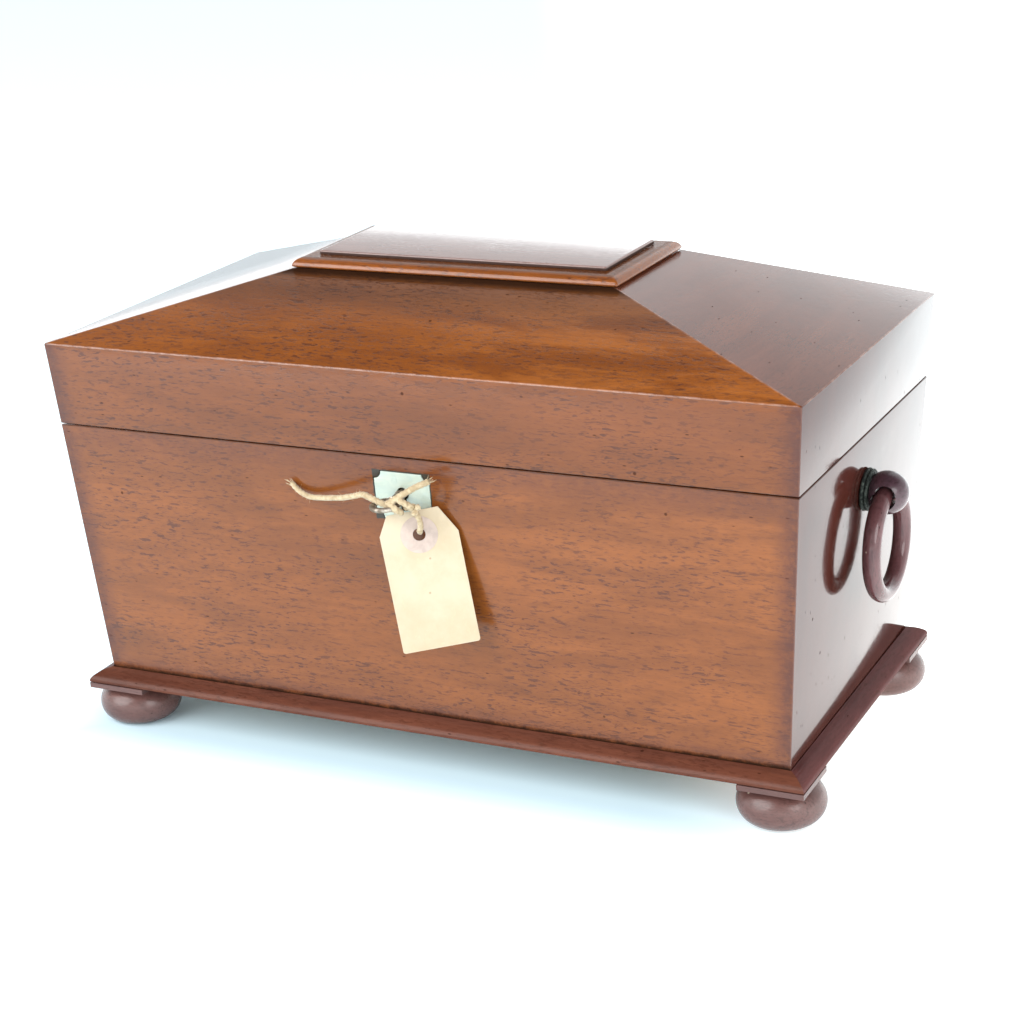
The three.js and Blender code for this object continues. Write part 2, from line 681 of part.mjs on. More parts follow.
function bowlBoard() {
  const inner = PARTITION.x - PARTITION.thick / 2 - FIT_GAP;
  const block = insideBlock(BOWL_BOARD.low, BOWL_BOARD.high, -inner, inner, FIT_GAP);
  const hole = rod(BOWL_BOARD.hole, 30, 48).translate(0, 0, BOWL_BOARD.low);
  return mesh('bowl_board', cut(block, hole), 'mahogany');
}

function glassBowl() {
  const { rim, base, wall, low, high } = BOWL;
  const profile = [
    [0, 0], [base, 0], [base + 1, 2], [base, 6], [base + 6, 26], [rim - 4, 60], [rim, high - low - 4],
    [rim - 0.5, high - low], [rim - wall + 0.4, high - low], [rim - wall, high - low - 4],
    [rim - 4 - wall, 60], [base + 5 - wall, 27], [base - 8, 12], [0, 10],
  ];
  const bowl = mesh('glass_bowl', turned(profile, 28), 'glass');
  bowl.position.z = low;
  return bowl;
}

// --- tag --------------------------------------------------------------------------------------

function paperTag() {
  const { width, below, above, thick, hole } = TAG;
  const half = width / 2;
  const shape = new THREE.Shape();
  shape.moveTo(-half, -below);
  shape.lineTo(half, -below);
  shape.lineTo(half, TAG_RIGHT_CLIP.from);
  shape.lineTo(half - TAG_RIGHT_CLIP.across, above);
  shape.lineTo(-half + TAG_LEFT_CLIP.across, above);
  shape.lineTo(-half, TAG_LEFT_CLIP.from);
  shape.closePath();
  const eye = new THREE.Path();
  eye.absarc(0, 0, hole, 0, 2 * Math.PI, true);
  shape.holes.push(eye);
  const card = extrude(shape, thick, 8)
    .translate(0, 0, -thick / 2)
    .rotateZ(TAG_LEAN)
    .rotateX(Math.PI / 2 - TAG_PITCH)
    .rotateZ(TAG_YAW)
    .translate(TAG_HOLE.x, TAG_HOLE.y, TAG_HOLE.z);
  return mesh('paper_tag', card, 'paper');
}

function twineTail() {
  const route = new THREE.CatmullRomCurve3(TAIL_ROUTE.map((point) => new THREE.Vector3(...point)));
  const section = new THREE.Shape();
  section.absarc(0, 0, TWINE / 2, 0, 2 * Math.PI, false);
  const tube = new THREE.ExtrudeGeometry(section, {
    steps: 16, curveSegments: 4, bevelEnabled: false, extrudePath: route,
  });
  return mesh('tag_twine', tube, 'twine');
}

// --- assembly ---------------------------------------------------------------------------------

const END_SIDES = SIDES.filter((side) => !side.long);

const caddy = new THREE.Group();
caddy.name = 'tea_caddy';
caddy.position.y = CASE_SHIFT_Y;
caddy.add(
  ...caseBoards(),
  bottomBoard(),
  ...baseMouldings(),
  ...CORNERS.map(cornerPad),
  ...CORNERS.map(bunFoot),
  ...END_SIDES.flatMap((side) => [handleBoss(side), handleCollar(side), handleRing(side)]),
  lockCase(),
  drillPin(),
  lockBolt(),
  linkPlate(),
  escutcheon(),
  key(),
  ...lidRims(),
  ...lidSlopes(),
  topMoulding(),
  topTablet(),
  ...hinges(),
  ...ENDS.flatMap((end) => [partition(end), foilLiner(end), innerLid(end), innerLidKnob(end)]),
  bowlBoard(),
  glassBowl(),
  paperTag(),
  twineTail(),
);

export default caddy;
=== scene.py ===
"""A mahogany tea caddy of sarcophagus form, about 1830, with its key and a blank paper tag.

Shapes are made in millimetres in the case's own coordinates: x from the middle to the right, y from the
middle of the case to its back and z up from the floor. TO_ROW then sets them in the row frame, in metres.
"""

from math import acos, asin, atan, cos, degrees, pi, radians, sin, sqrt

import bmesh
import bpy
import numpy as np
from mathutils import Matrix, Vector


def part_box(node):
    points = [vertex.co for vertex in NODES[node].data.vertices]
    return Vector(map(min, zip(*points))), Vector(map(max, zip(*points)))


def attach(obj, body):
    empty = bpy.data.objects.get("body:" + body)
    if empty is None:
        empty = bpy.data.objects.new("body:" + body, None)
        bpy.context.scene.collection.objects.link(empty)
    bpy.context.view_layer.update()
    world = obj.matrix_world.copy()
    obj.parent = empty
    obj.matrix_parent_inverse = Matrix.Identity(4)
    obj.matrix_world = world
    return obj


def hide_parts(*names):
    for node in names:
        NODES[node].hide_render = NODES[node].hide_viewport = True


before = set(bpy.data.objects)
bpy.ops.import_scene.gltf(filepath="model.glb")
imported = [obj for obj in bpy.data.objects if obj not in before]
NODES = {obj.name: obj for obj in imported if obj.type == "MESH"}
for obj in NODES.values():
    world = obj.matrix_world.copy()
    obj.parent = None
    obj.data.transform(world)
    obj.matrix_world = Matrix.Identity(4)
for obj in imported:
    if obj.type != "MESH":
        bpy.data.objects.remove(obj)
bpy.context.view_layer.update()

MM = 0.001


def middle(node):
    low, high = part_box(node)
    return (low + high) / 2


def add_object(name, data):
    obj = bpy.data.objects.new(name, data)
    bpy.context.scene.collection.objects.link(obj)
    return obj


def moved(x, y, z):
    return Matrix.Translation((x, y, z))


def turned(angle, axis):
    return Matrix.Rotation(angle, 4, axis)


CASE_Y = middle("top_tablet").y
TO_ROW = moved(0, CASE_Y, 0) @ Matrix.Scale(MM, 4)

# Driving sizes of the case, as in the CAD. Half sizes are taken at the eave.
EAVE_X, EAVE_Y, EAVE_Z = 170, 87.25, 178
TAPER = 0.063
TILT = atan(TAPER)
WALL = 8
FIT = 0.3
BODY_BOTTOM = 20
SEAM_Z = 141.7
SEAM_HALF = 0.3
SLOPE_DEPTH = 6.5
LID_TOP_X, LID_TOP_Y, LID_TOP_Z = 75, 35.2, 203.9
MITRE = 0.01
ARRIS = 0.5


def half_x(z):
    return EAVE_X + TAPER * (z - EAVE_Z)


def half_y(z):
    return EAVE_Y + TAPER * (z - EAVE_Z)


# --- camera ---

CAMERA = {"azimuth": 26.7065, "elevation": 19.2928, "roll": -3.1429, "distance": 1.0102, "lens": 80.79}
CAMERA_TARGET = (0.005508, 0.008823, 0.090484)


def make_camera():
    azimuth, elevation, roll = (radians(CAMERA[k]) for k in ("azimuth", "elevation", "roll"))
    data = bpy.data.cameras.new("camera")
    data.lens = CAMERA["lens"]
    data.sensor_width = 36
    data.clip_end = 50
    camera = add_object("camera", data)
    facing = turned(azimuth, "Z") @ turned(pi / 2 - elevation, "X") @ turned(roll, "Z")
    camera.matrix_world = moved(*CAMERA_TARGET) @ facing @ moved(0, 0, CAMERA["distance"])
    bpy.context.scene.camera = camera


make_camera()

# --- mesh helpers ---


def new_object(name, bm):
    mesh = bpy.data.meshes.new(name)
    bm.to_mesh(mesh)
    bm.free()
    return add_object(name, mesh)


def skin(bm, rings, closed):
    """Faces between neighbouring rings, and back to the first one if closed. A ring may be one point."""
    for a, b in zip(rings, rings[1:] + rings[:1] if closed else rings[1:]):
        count = max(len(a), len(b))
        for i in range(count):
            j = (i + 1) % count
            corners = [a[i % len(a)], a[j % len(a)], b[j % len(b)], b[i % len(b)]]
            bm.faces.new([v for k, v in enumerate(corners) if v not in corners[:k]])


def loft(name, rings, closed=False):
    """A solid, or a closed loop, through rings of equal length."""
    bm = bmesh.new()
    made = [[bm.verts.new(p) for p in ring] for ring in rings]
    if not closed:
        bm.faces.new(made[0])
        bm.faces.new(made[-1])
    skin(bm, made, closed)
    bmesh.ops.remove_doubles(bm, verts=bm.verts, dist=1e-5)
    bmesh.ops.recalc_face_normals(bm, faces=bm.faces)
    return new_object(name, bm)


def arc(x, y, reach_x, reach_y, first, last, count):
    """Points round an ellipse, from one angle to another in degrees."""
    turns = np.linspace(radians(first), radians(last), count)
    return [(x + reach_x * cos(t), y + reach_y * sin(t)) for t in turns]


def lathe(name, profile, place=Matrix.Identity(4), segments=96):
    """Turns [radius, height] pairs about +Z. A profile that starts and ends off the axis is a closed loop."""
    bm = bmesh.new()
    rings = []
    for radius, height in profile:
        turn = arc(0, 0, radius, radius, 0, 360, segments + 1)[:-1] if radius > 1e-6 else [(0, 0)]
        rings.append([bm.verts.new((x, y, height)) for x, y in turn])
    skin(bm, rings, profile[0][0] > 1e-6 and profile[-1][0] > 1e-6)
    bmesh.ops.recalc_face_normals(bm, faces=bm.faces)
    obj = new_object(name, bm)
    obj.data.transform(place)
    return obj


def prism(name, outline, low, high, place=Matrix.Identity(4)):
    obj = loft(name, [[Vector((x, y, z)) for x, y in outline] for z in (low, high)])
    obj.data.transform(place)
    return obj


def block(name, x0, x1, y0, y1, z0, z1):
    return prism(name, [(x0, y0), (x1, y0), (x1, y1), (x0, y1)], z0, z1)


def rod(name, radius, length, place, segments=48):
    half = length / 2
    return lathe(name, [(0, -half), (radius, -half), (radius, half), (0, half)], place, segments)


def torus(name, radius, section, place, around=128, across=28):
    rings = []
    for i in range(around):
        t = 2 * pi * i / around
        out = Vector((cos(t), sin(t), 0))
        rings.append([
            out * (radius + section * cos(a)) + Vector((0, 0, section * sin(a)))
            for a in (2 * pi * k / across for k in range(across))
        ])
    obj = loft(name, rings, closed=True)
    obj.data.transform(place)
    return obj


def apply_modifiers(obj):
    bpy.context.view_layer.update()
    shown = obj.evaluated_get(bpy.context.evaluated_depsgraph_get())
    mesh = bpy.data.meshes.new_from_object(shown)
    old = obj.data
    obj.modifiers.clear()
    obj.data = mesh
    bpy.data.meshes.remove(old)
    mesh.name = obj.name


def modify(obj, kind, **settings):
    modifier = obj.modifiers.new(kind.lower(), kind)
    for key, value in settings.items():
        setattr(modifier, key, value)


def carve(obj, *tools, operation="DIFFERENCE"):
    """Cuts, joins or intersects obj with each tool, and then removes the tools."""
    for tool in tools:
        modify(obj, "BOOLEAN", object=tool, operation=operation, solver="EXACT")
    apply_modifiers(obj)
    for tool in tools:
        bpy.data.objects.remove(tool)
    return obj


def joined(name, parts):
    """One object that holds the meshes of several."""
    bm = bmesh.new()
    for part in parts:
        bm.from_mesh(part.data)
        bpy.data.objects.remove(part)
    return new_object(name, bm)


def soften(obj, width, segments=2, angle=35):
    limit = radians(angle)
    modify(obj, "BEVEL", width=width, segments=segments, limit_method="ANGLE", angle_limit=limit)


def round_shell(obj, seam, eave=None):
    """Rounds upright, hip and eave edges fully, the seam's edges by 0.6 and the hidden ones not at all."""
    bm = bmesh.new()
    bm.from_mesh(obj.data)
    layer = bm.edges.layers.float.new("bevel_weight_edge")
    for edge in bm.edges:
        a, b = (v.co.z for v in edge.verts)
        full = abs(a - b) > 1 or (eave is not None and abs(a - eave) < 1)
        edge[layer] = 1.0 if full else 0.6 if abs(a - seam) < 1 else 0.0
    bm.to_mesh(obj.data)
    bm.free()
    modify(obj, "BEVEL", width=ARRIS, segments=4, limit_method="WEIGHT")
    apply_modifiers(obj)


def mark_arrises(obj, narrow=0.45):
    """Marks the narrow faces along rounded edges, so that a material can wear them."""
    mesh = obj.data
    mark = mesh.attributes.get("arris") or mesh.attributes.new("arris", "FLOAT", "FACE")
    for face in mesh.polygons:
        corners = [mesh.vertices[i].co for i in face.vertices]
        longest = max((a - b).length for a, b in zip(corners, corners[1:] + corners[:1]))
        mark.data[face.index].value = 1.0 if face.area / longest < narrow and longest > 3 else 0.0


def piece(obj, body, slot, material, *replaced, smooth=40):
    """Sets a finished shape in the row frame, with its finish, on its body, in place of its CAD nodes."""
    if obj.modifiers:
        apply_modifiers(obj)
    obj.data.transform(TO_ROW)
    obj.data.materials.clear()
    obj.data.materials.append(material)
    obj.data.shade_smooth()
    obj.data.set_sharp_from_angle(angle=radians(smooth))
    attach(obj, body)
    if replaced:
        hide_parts(*replaced)
    return obj


def smooth_line(points, steps):
    """Points along a Catmull-Rom curve through the given ones."""
    points = [Vector(p) for p in points]
    padded = [points[0] * 2 - points[1], *points, points[-1] * 2 - points[-2]]
    line = []
    for a, b, c, d in zip(padded, padded[1:], padded[2:], padded[3:]):
        for step in range(steps):
            t = step / steps
            line.append(0.5 * (
                2 * b + (c - a) * t + (2 * a - 5 * b + 4 * c - d) * t ** 2 + (3 * b - a - 3 * c + d) * t ** 3
            ))
    line.append(points[-1])
    return line


# --- twine: the tail is a cord, and the knot, hitch and loop go with it ---

TWINE = 2.2
TAIL_ROUTE = [
    (-10.8, -98.4, 129.5), (-12.9, -97.9, 129.2), (-15.0, -97.3, 128.4), (-17.0, -96.6, 127.7),
    (-19.0, -95.9, 127.0), (-23.0, -94.4, 125.7), (-25.3, -93.6, 125.1), (-27.5, -92.8, 124.6),
    (-31.9, -91.2, 123.6), (-34.1, -90.4, 123.1), (-36.4, -89.6, 122.7), (-40.8, -88.2, 121.9),
    (-44.2, -87.2, 121.9), (-47.3, -86.5, 122.6), (-50.0, -86.0, 124.0), (-52.4, -85.7, 126.2),
]
TAG_HOLE = Vector((9.07, -91.15, 112.14))
KNOT = Vector((12.7, -99.4, 126.3))


def frames_along(line):
    """A direction and two cross directions at each point, turning as little as possible."""
    frames = []
    side = None
    for i, point in enumerate(line):
        ahead = line[min(i + 1, len(line) - 1)] - line[max(i - 1, 0)]
        ahead.normalize()
        if side is None:
            side = ahead.orthogonal().normalized()
        side = (side - ahead * side.dot(ahead)).normalized()
        frames.append((point, side, ahead.cross(side)))
    return frames


def strand(name, route, radius, steps, plies=3, lay_length=5.5, taper=(1, 1)):
    """Laid twine: a tube whose section has one lobe for each ply, twisting along its length."""
    line = smooth_line(route, steps)
    across = 24
    rings = []
    travelled = 0
    for i, (point, side, other) in enumerate(frames_along(line)):
        if i:
            travelled += (line[i] - line[i - 1]).length
        share = i / (len(line) - 1)
        width = radius * (taper[0] + (taper[1] - taper[0]) * share)
        twist = 2 * pi * travelled / lay_length
        ring = []
        for k in range(across):
            angle = 2 * pi * k / across
            lobe = abs(cos(plies / 2 * (angle - twist)))
            reach = width * (0.70 + 0.30 * lobe ** 0.7)
            ring.append(point + side * (reach * cos(angle)) + other * (reach * sin(angle)))
        rings.append(ring)
    return loft(name, rings), line


def fibres(name, starts, rng, length, radius):
    """Loose hairs: each start is a point and the direction in which its fibre leaves."""
    parts = []
    for n, (point, direction) in enumerate(starts):
        reach = length * rng.uniform(0.5, 1.2)
        stray = Vector(rng.uniform(-1, 1, 3)) * 0.35 * reach
        route = [
            point,
            point + direction * reach * 0.4 + stray * 0.15,
            point + direction * reach * 0.8 + stray * 0.6,
            point + direction * reach + stray,
        ]
        part, _ = strand(f"{name}_{n}", route, radius, steps=3, plies=1, lay_length=50, taper=(1, 0.35))
        parts.append(part)
    return joined(name, parts)


# --- materials ---


class Nodes:
    """Fills an empty node tree."""

    def __init__(self, tree):
        self.tree = tree
        tree.nodes.clear()

    def node(self, kind, sockets=None, **settings):
        node = self.tree.nodes.new("ShaderNode" + kind)
        for key, value in settings.items():
            setattr(node, key, value)
        for key, value in (sockets or {}).items():
            self.give(node.inputs[key], value)
        return node

    def give(self, socket, value):
        """Sets a socket to a value, to a colour or to what comes out of another node."""
        if isinstance(value, bpy.types.NodeSocket):
            self.tree.links.new(value, socket)
        else:
            socket.default_value = (*value, 1.0) if socket.type == "RGBA" else value

    def math(self, operation, *values):
        node = self.node("Math", operation=operation)
        for socket, value in zip(node.inputs, values):
            self.give(socket, value)
        return node.outputs[0]

    def times(self, a, b):
        return self.math("MULTIPLY", a, b)

    def minus(self, a, b):
        return self.math("SUBTRACT", a, b)

    def larger(self, a, b):
        return self.math("MAXIMUM", a, b)

    def away(self, value, centre):
        """How far value is from centre, to either side."""
        return self.math("ABSOLUTE", self.minus(value, centre))

    def step(self, value, low, high, to_low=0.0, to_high=1.0):
        """A smooth step from to_low to to_high as value goes from low to high."""
        sockets = {"Value": value, "From Min": low, "From Max": high, "To Min": to_low, "To Max": to_high}
        return self.node("MapRange", sockets, interpolation_type="SMOOTHSTEP").outputs[0]


class Paint(Nodes):
    """Builds one procedural material. Its nodes read the object's own coordinates, in metres."""

    def __init__(self, name):
        self.material = bpy.data.materials.new(name)
        self.material.use_nodes = True
        super().__init__(self.material.node_tree)
        self.shader = self.node("BsdfPrincipled")
        self.node("OutputMaterial", {"Surface": self.shader.outputs["BSDF"]})
        spot = self.node("TexCoord").outputs
        self.place = spot["Object"]
        self.axes = self.node("SeparateXYZ", {"Vector": self.place}).outputs
        self.upward = self.node("SeparateXYZ", {"Vector": spot["Normal"]}).outputs[2]

    def set(self, **sockets):
        """Puts each value or node's output on the shader's socket of that name. Returns the material."""
        for key, value in sockets.items():
            self.give(self.shader.inputs[key.replace("_", " ")], value)
        return self.material

    def mix(self, share, a, b):
        node = self.node("Mix", data_type="RGBA")
        for socket, value in zip((node.inputs[0], node.inputs[6], node.inputs[7]), (share, a, b)):
            self.give(socket, value)
        return node.outputs[2]

    def scaled(self, scale, offset=(0, 0, 0)):
        sockets = {"Vector": self.place, "Scale": scale, "Location": offset}
        return self.node("Mapping", sockets).outputs[0]

    def noise(self, scale, detail=3.0, rough=0.55, distort=0.0, at=None):
        sockets = {
            "Vector": at or self.place, "Scale": scale, "Detail": detail,
            "Roughness": rough, "Distortion": distort,
        }
        return self.node("TexNoise", sockets).outputs["Fac"]

    def spots(self, scale, size, share, at=None):
        """Small round marks of random presence: share of the cells hold one."""
        cells = self.node("TexVoronoi", {"Vector": at or self.place, "Scale": scale})
        near = self.step(cells.outputs["Distance"], size * 0.6, size, 1.0, 0.0)
        pick = self.node("SeparateColor", {"Color": cells.outputs["Color"]}).outputs[0]
        return self.times(near, self.math("LESS_THAN", pick, share))

    def bump(self, height, distance, strength=1.0, normal=None):
        sockets = {"Height": height, "Distance": distance, "Strength": strength}
        if normal is not None:
            sockets["Normal"] = normal
        return self.node("Bump", sockets).outputs[0]


def darker(color, share):
    return tuple(c * share for c in color)


WOOD_PORE = (0.060, 0.018, 0.010)
PLUM_PORE = (0.018, 0.007, 0.006)


def wood(
    name, along, dark, light, seed, pore=WOOD_PORE, coat=1.0, coat_rough=0.07, coat_ior=1.5,
    pores=0.6, sunken=1.0, blotch=0.4, wear=0.4, glow=0.0, darkening=0.0, stain=False, shade_and_soil_bands=(),
):
    """Mahogany with its grain along one axis, under worn French polish.

    pores, blotch, wear and glow are shares: of the dark flecks, the cloudy patches, the rubbed arrises and
    the lighter right half. The share after glow darkens the upright corners, the band below the seam and the
    joints, partly as soiling and partly as painted shade. sunken is the depth of the pores. The last argument
    lists dark
    bands across the wood as (height, reach, share): painted shade under overhangs, with soiling where parts
    meet.
    """
    paint = Paint(f"mahogany_{name}")

    def grain(stretch):
        scale = [stretch] * 3
        scale["XYZ".index(along)] = 1.0
        return paint.scaled(tuple(scale), (seed, seed * 1.7, seed * 0.6))

    figure = paint.noise(13.0, 6.0, 0.66, 0.5, grain(5.5))
    streak = paint.noise(30.0, 4.0, 0.6, 0.2, grain(18.0))
    color = paint.mix(paint.step(figure, 0.32, 0.64, 0.42, 1.0), dark, light)
    color = paint.mix(paint.step(streak, 0.32, 0.62, 0.24, 0.0), color, dark)

    patches = paint.noise(17.0, 4.0, 0.6, 0.3, paint.scaled((1.0, 1.0, 1.7), (seed, 3.0, seed)))
    color = paint.mix(paint.step(patches, 0.50, 0.74, 0.0, blotch), color, darker(dark, 0.6))

    where = paint.step(paint.noise(21.0, 2.0, 0.5, 0.0, grain(2.2)), 0.34, 0.60, 0.40, 1.0)
    flecks = paint.step(paint.noise(210.0, 3.0, 0.6, 0.4, grain(4.5)), 0.54, 0.63)
    lines = paint.step(paint.noise(300.0, 2.0, 0.6, 0.2, grain(8.0)), 0.54, 0.68, 0.0, 0.7)
    pore_mask = paint.times(paint.larger(flecks, lines), where)
    color = paint.mix(paint.times(pore_mask, pores), color, pore)

    dents = paint.larger(paint.spots(62.0, 0.055, 0.34), paint.spots(90.0, 0.09, 0.6, grain(3.0)))
    color = paint.mix(paint.times(dents, 0.75), color, darker(pore, 0.5))
    coat = paint.math("MULTIPLY_ADD", dents, -0.7 * coat, coat)
    chips = paint.spots(37.0, 0.030, 0.16, paint.scaled((1.0, 1.0, 1.0), (0.37, 0.11, 0.53)))
    color = paint.mix(paint.times(chips, 0.7), color, (0.62, 0.50, 0.38))

    ragged = paint.noise(240.0, 4.0, 0.7)
    edge = paint.node("Attribute", attribute_name="arris").outputs["Fac"]
    worn = paint.times(edge, paint.step(ragged, 0.42, 0.60, 0.12, wear))
    color = paint.mix(worn, color, (0.40, 0.25, 0.20))
    if glow:
        to_the_right = paint.step(paint.axes[0], -0.02, 0.09, 0.0, glow)
        brighter = paint.times(to_the_right, paint.step(figure, 0.4, 0.6))
        color = paint.mix(brighter, color, (0.45, 0.15, 0.035))
    # Plum-dark corners and a band under the seam, with painted shade and soiling in the seam and above the
    # base moulding.
    if darkening:
        color, coat = soil_and_painted_shade(paint, along, color, ragged, darkening, coat)
    # Dark bands at the listed heights, on all but downward faces and with the coat taken off: painted shade
    # under overhangs and at joints, with soiling at the joints.
    for height, reach, share in shade_and_soil_bands:
        away = paint.away(paint.axes[2], height)
        shade_and_soil_band = paint.step(away, reach * 0.4, reach, share, 0.0)
        shade_and_soil_band = paint.times(shade_and_soil_band, paint.step(paint.upward, -0.6, -0.3))
        color = paint.mix(shade_and_soil_band, color, (0.022, 0.010, 0.006))
        coat = paint.times(coat, paint.minus(1.0, shade_and_soil_band))
    if stain:
        color = paint.mix(escutcheon_stain(paint), color, (0.030, 0.028, 0.020))
    dull = paint.noise(60.0, 4.0, 0.65, 0.2)
    paint.set(Base_Color=color, Roughness=paint.step(dull, 0.40, 0.75, 0.36, 0.60), Specular_IOR_Level=0.0)
    paint.set(Coat_Weight=coat, Coat_Roughness=coat_rough, Coat_IOR=coat_ior)
    ripple = paint.bump(paint.noise(48.0, 2.0, 0.5), 0.0006, 0.10)
    sunk = paint.times(paint.math("ADD", pore_mask, dents), -1.0)
    inner = paint.bump(sunk, 0.00012 * sunken, 0.6, ripple)
    return paint.set(Normal=inner, Coat_Normal=paint.bump(sunk, 0.00005 * sunken, 0.5, ripple))


def soil_and_painted_shade(paint, along, color, ragged, darkening, coat):
    """Plum-dark polish at the upright corners and under the seam, and painted shade with soiling where parts
    meet: a dark band above the base moulding and black lines there and in the lid seam.
    """
    x, y, z = paint.axes
    floor_half_x, floor_half_y = 0.1588, 0.0760  # of the tapered case, carried down to the floor
    if along == "X":
        half = paint.math("MULTIPLY_ADD", z, TAPER, floor_half_x)
        across = paint.math("DIVIDE", paint.math("ABSOLUTE", x), half)
    else:
        middle_y = paint.away(y, CASE_Y)
        half = paint.math("MULTIPLY_ADD", z, TAPER, floor_half_y)
        across = paint.math("DIVIDE", middle_y, half)
    corner = paint.step(across, 0.925, 1.0)
    seam = SEAM_Z * MM
    below = paint.math("LESS_THAN", z, seam)
    under = paint.times(paint.step(z, seam - 0.016, seam - 0.002), below)
    # Painted shade with soiling: a dark band on the board just above the base moulding, where the parts meet.
    foot = paint.step(z, 0.0262, 0.034, 0.7, 0.0)
    band = paint.larger(corner, paint.larger(paint.times(under, 0.55), foot))
    band = paint.times(band, paint.step(ragged, 0.30, 0.62, 0.55 * darkening, darkening))
    color = paint.mix(band, color, (0.070, 0.020, 0.014))
    # Painted shade with soiling: a black line in the lid seam, with the coat taken off so that the gap reads
    # dark.
    away = paint.away(z, seam)
    joint = paint.step(away, 0.0003, 0.0008, 1.0, 0.0)
    upright = paint.step(paint.math("ABSOLUTE", paint.upward), 0.5, 0.8, 1.0, 0.0)
    joint = paint.times(joint, upright)
    # Painted shade with soiling: a ragged black line where the board meets the base moulding.
    if along == "X":
        soil_and_shade_top = paint.minus(z, paint.times(ragged, 0.0035))
        joint = paint.larger(joint, paint.step(soil_and_shade_top, 0.0240, 0.0262, 0.85, 0.0))
    color = paint.mix(joint, color, (0.010, 0.007, 0.005))
    return color, paint.times(coat, paint.minus(1.0, joint))


def escutcheon_stain(paint):
    """Where dark glue and wax fill the scooped corners round the escutcheon."""
    x, y, z = paint.axes
    plate_x, plate_z, plate_half_x, plate_half_z = -0.0013, 0.12485, 0.0128, 0.0104
    beside = paint.away(x, plate_x)
    above = paint.away(z, plate_z)
    inside = paint.math(
        "MAXIMUM", paint.minus(beside, plate_half_x), paint.minus(above, plate_half_z),
    )
    ragged = paint.times(paint.noise(420.0, 3.0, 0.6), 0.0011)
    stained = paint.step(paint.minus(inside, ragged), -0.0003, 0.0002, 0.95, 0.0)
    only_the_face = paint.math("LESS_THAN", y, CASE_Y - 0.0825)
    return paint.times(stained, only_the_face)


def metal(name, clean, stained, rough, stain=0.5, scale=180.0, metallic=0.9, bump=0.00006):
    """Worn metal: stains, fine scratches and a soft uneven surface."""
    paint = Paint(name)
    cloud = paint.noise(scale, 5.0, 0.65, 0.4)
    color = paint.mix(paint.step(cloud, 0.5 - stain * 0.3, 0.75 - stain * 0.3), clean, stained)
    scratch = paint.noise(900.0, 2.0, 0.5, 0.0, paint.scaled((1.0, 0.08, 1.0)))
    color = paint.mix(paint.step(scratch, 0.62, 0.72, 0.0, 0.35), color, clean)
    paint.set(Base_Color=color, Metallic=metallic)
    paint.set(Roughness=paint.step(cloud, 0.35, 0.7, rough, min(rough + 0.25, 0.9)))
    return paint.set(Normal=paint.bump(paint.noise(scale * 5, 4.0, 0.7), bump, 0.7))


def bone(name, pale, veined, rough=0.3):
    """Polished bone or shell: faint bands, tiny dark lines and a soft depth of colour."""
    paint = Paint(name)
    bands = paint.noise(90.0, 4.0, 0.6, 1.2, paint.scaled((1.0, 1.0, 3.0)))
    color = paint.mix(paint.step(bands, 0.35, 0.7), pale, veined)
    lines = paint.noise(500.0, 2.0, 0.6, 0.0, paint.scaled((4.0, 4.0, 0.4)))
    color = paint.mix(paint.step(lines, 0.66, 0.74, 0.0, 0.4), color, darker(veined, 0.6))
    paint.set(Base_Color=color, Roughness=rough, Coat_Weight=0.6, Coat_Roughness=0.12, Subsurface_Weight=0.1)
    paint.set(Subsurface_Radius=(0.002, 0.0015, 0.001))
    return paint.set(Normal=paint.bump(bands, 0.0001, 0.4))


def card_material():
    """Cream card with fine fibres and a few specks."""
    paint = Paint("card")
    cloud = paint.noise(55.0, 4.0, 0.6)
    color = paint.mix(paint.step(cloud, 0.35, 0.72), (0.575, 0.475, 0.345), (0.51, 0.405, 0.275))
    thread = paint.noise(700.0, 3.0, 0.6, 1.5, paint.scaled((1.0, 1.0, 0.5)))
    color = paint.mix(paint.step(thread, 0.55, 0.75, 0.0, 0.35), color, (0.66, 0.52, 0.33))
    specks = paint.spots(150.0, 0.10, 0.10)
    color = paint.mix(paint.times(specks, 0.6), color, (0.30, 0.20, 0.12))
    paint.set(Base_Color=color, Roughness=0.85, Specular_IOR_Level=0.25)
    return paint.set(Normal=paint.bump(thread, 0.00008, 0.5))


def fibre_material(name, pale, deep, scale=420.0):
    """Plant fibre or felted paper: soft, dull and streaked."""
    paint = Paint(name)
    cloud = paint.noise(scale, 4.0, 0.7, 0.6)
    color = paint.mix(paint.step(cloud, 0.33, 0.7), deep, pale)
    paint.set(Base_Color=color, Roughness=0.9, Specular_IOR_Level=0.2, Sheen_Weight=0.25, Sheen_Roughness=0.5)
    return paint.set(Normal=paint.bump(paint.noise(scale * 4, 3.0, 0.6), 0.00010, 0.8))


def foil_material():
    """Dull tinned foil, pressed in by hand: creases and grey bloom."""
    paint = Paint("lead_foil")
    sockets = {"Vector": paint.place, "Scale": 70.0}
    cells = paint.node("TexVoronoi", sockets, feature="DISTANCE_TO_EDGE")
    crease = paint.step(cells.outputs["Distance"], 0.0, 0.12)
    soft = paint.noise(90.0, 4.0, 0.6)
    color = paint.mix(paint.step(soft, 0.4, 0.7), (0.42, 0.43, 0.44), (0.20, 0.20, 0.21))
    paint.set(Base_Color=color, Metallic=0.85)
    paint.set(Roughness=paint.step(soft, 0.35, 0.7, 0.35, 0.6))
    height = paint.math("ADD", paint.times(crease, 0.4), soft)
    return paint.set(Normal=paint.bump(height, 0.0012, 0.8))


def glass_material():
    """Clear blown glass with a little swirl in its surface."""
    paint = Paint("clear_glass")
    swirl = paint.noise(30.0, 2.0, 0.5, 0.8)
    tint = paint.mix(paint.step(swirl, 0.3, 0.7), (0.93, 0.97, 0.96), (0.97, 0.99, 0.98))
    paint.set(Base_Color=tint, Roughness=0.03, IOR=1.5, Transmission_Weight=1.0)
    return paint.set(Normal=paint.bump(swirl, 0.0008, 0.15))


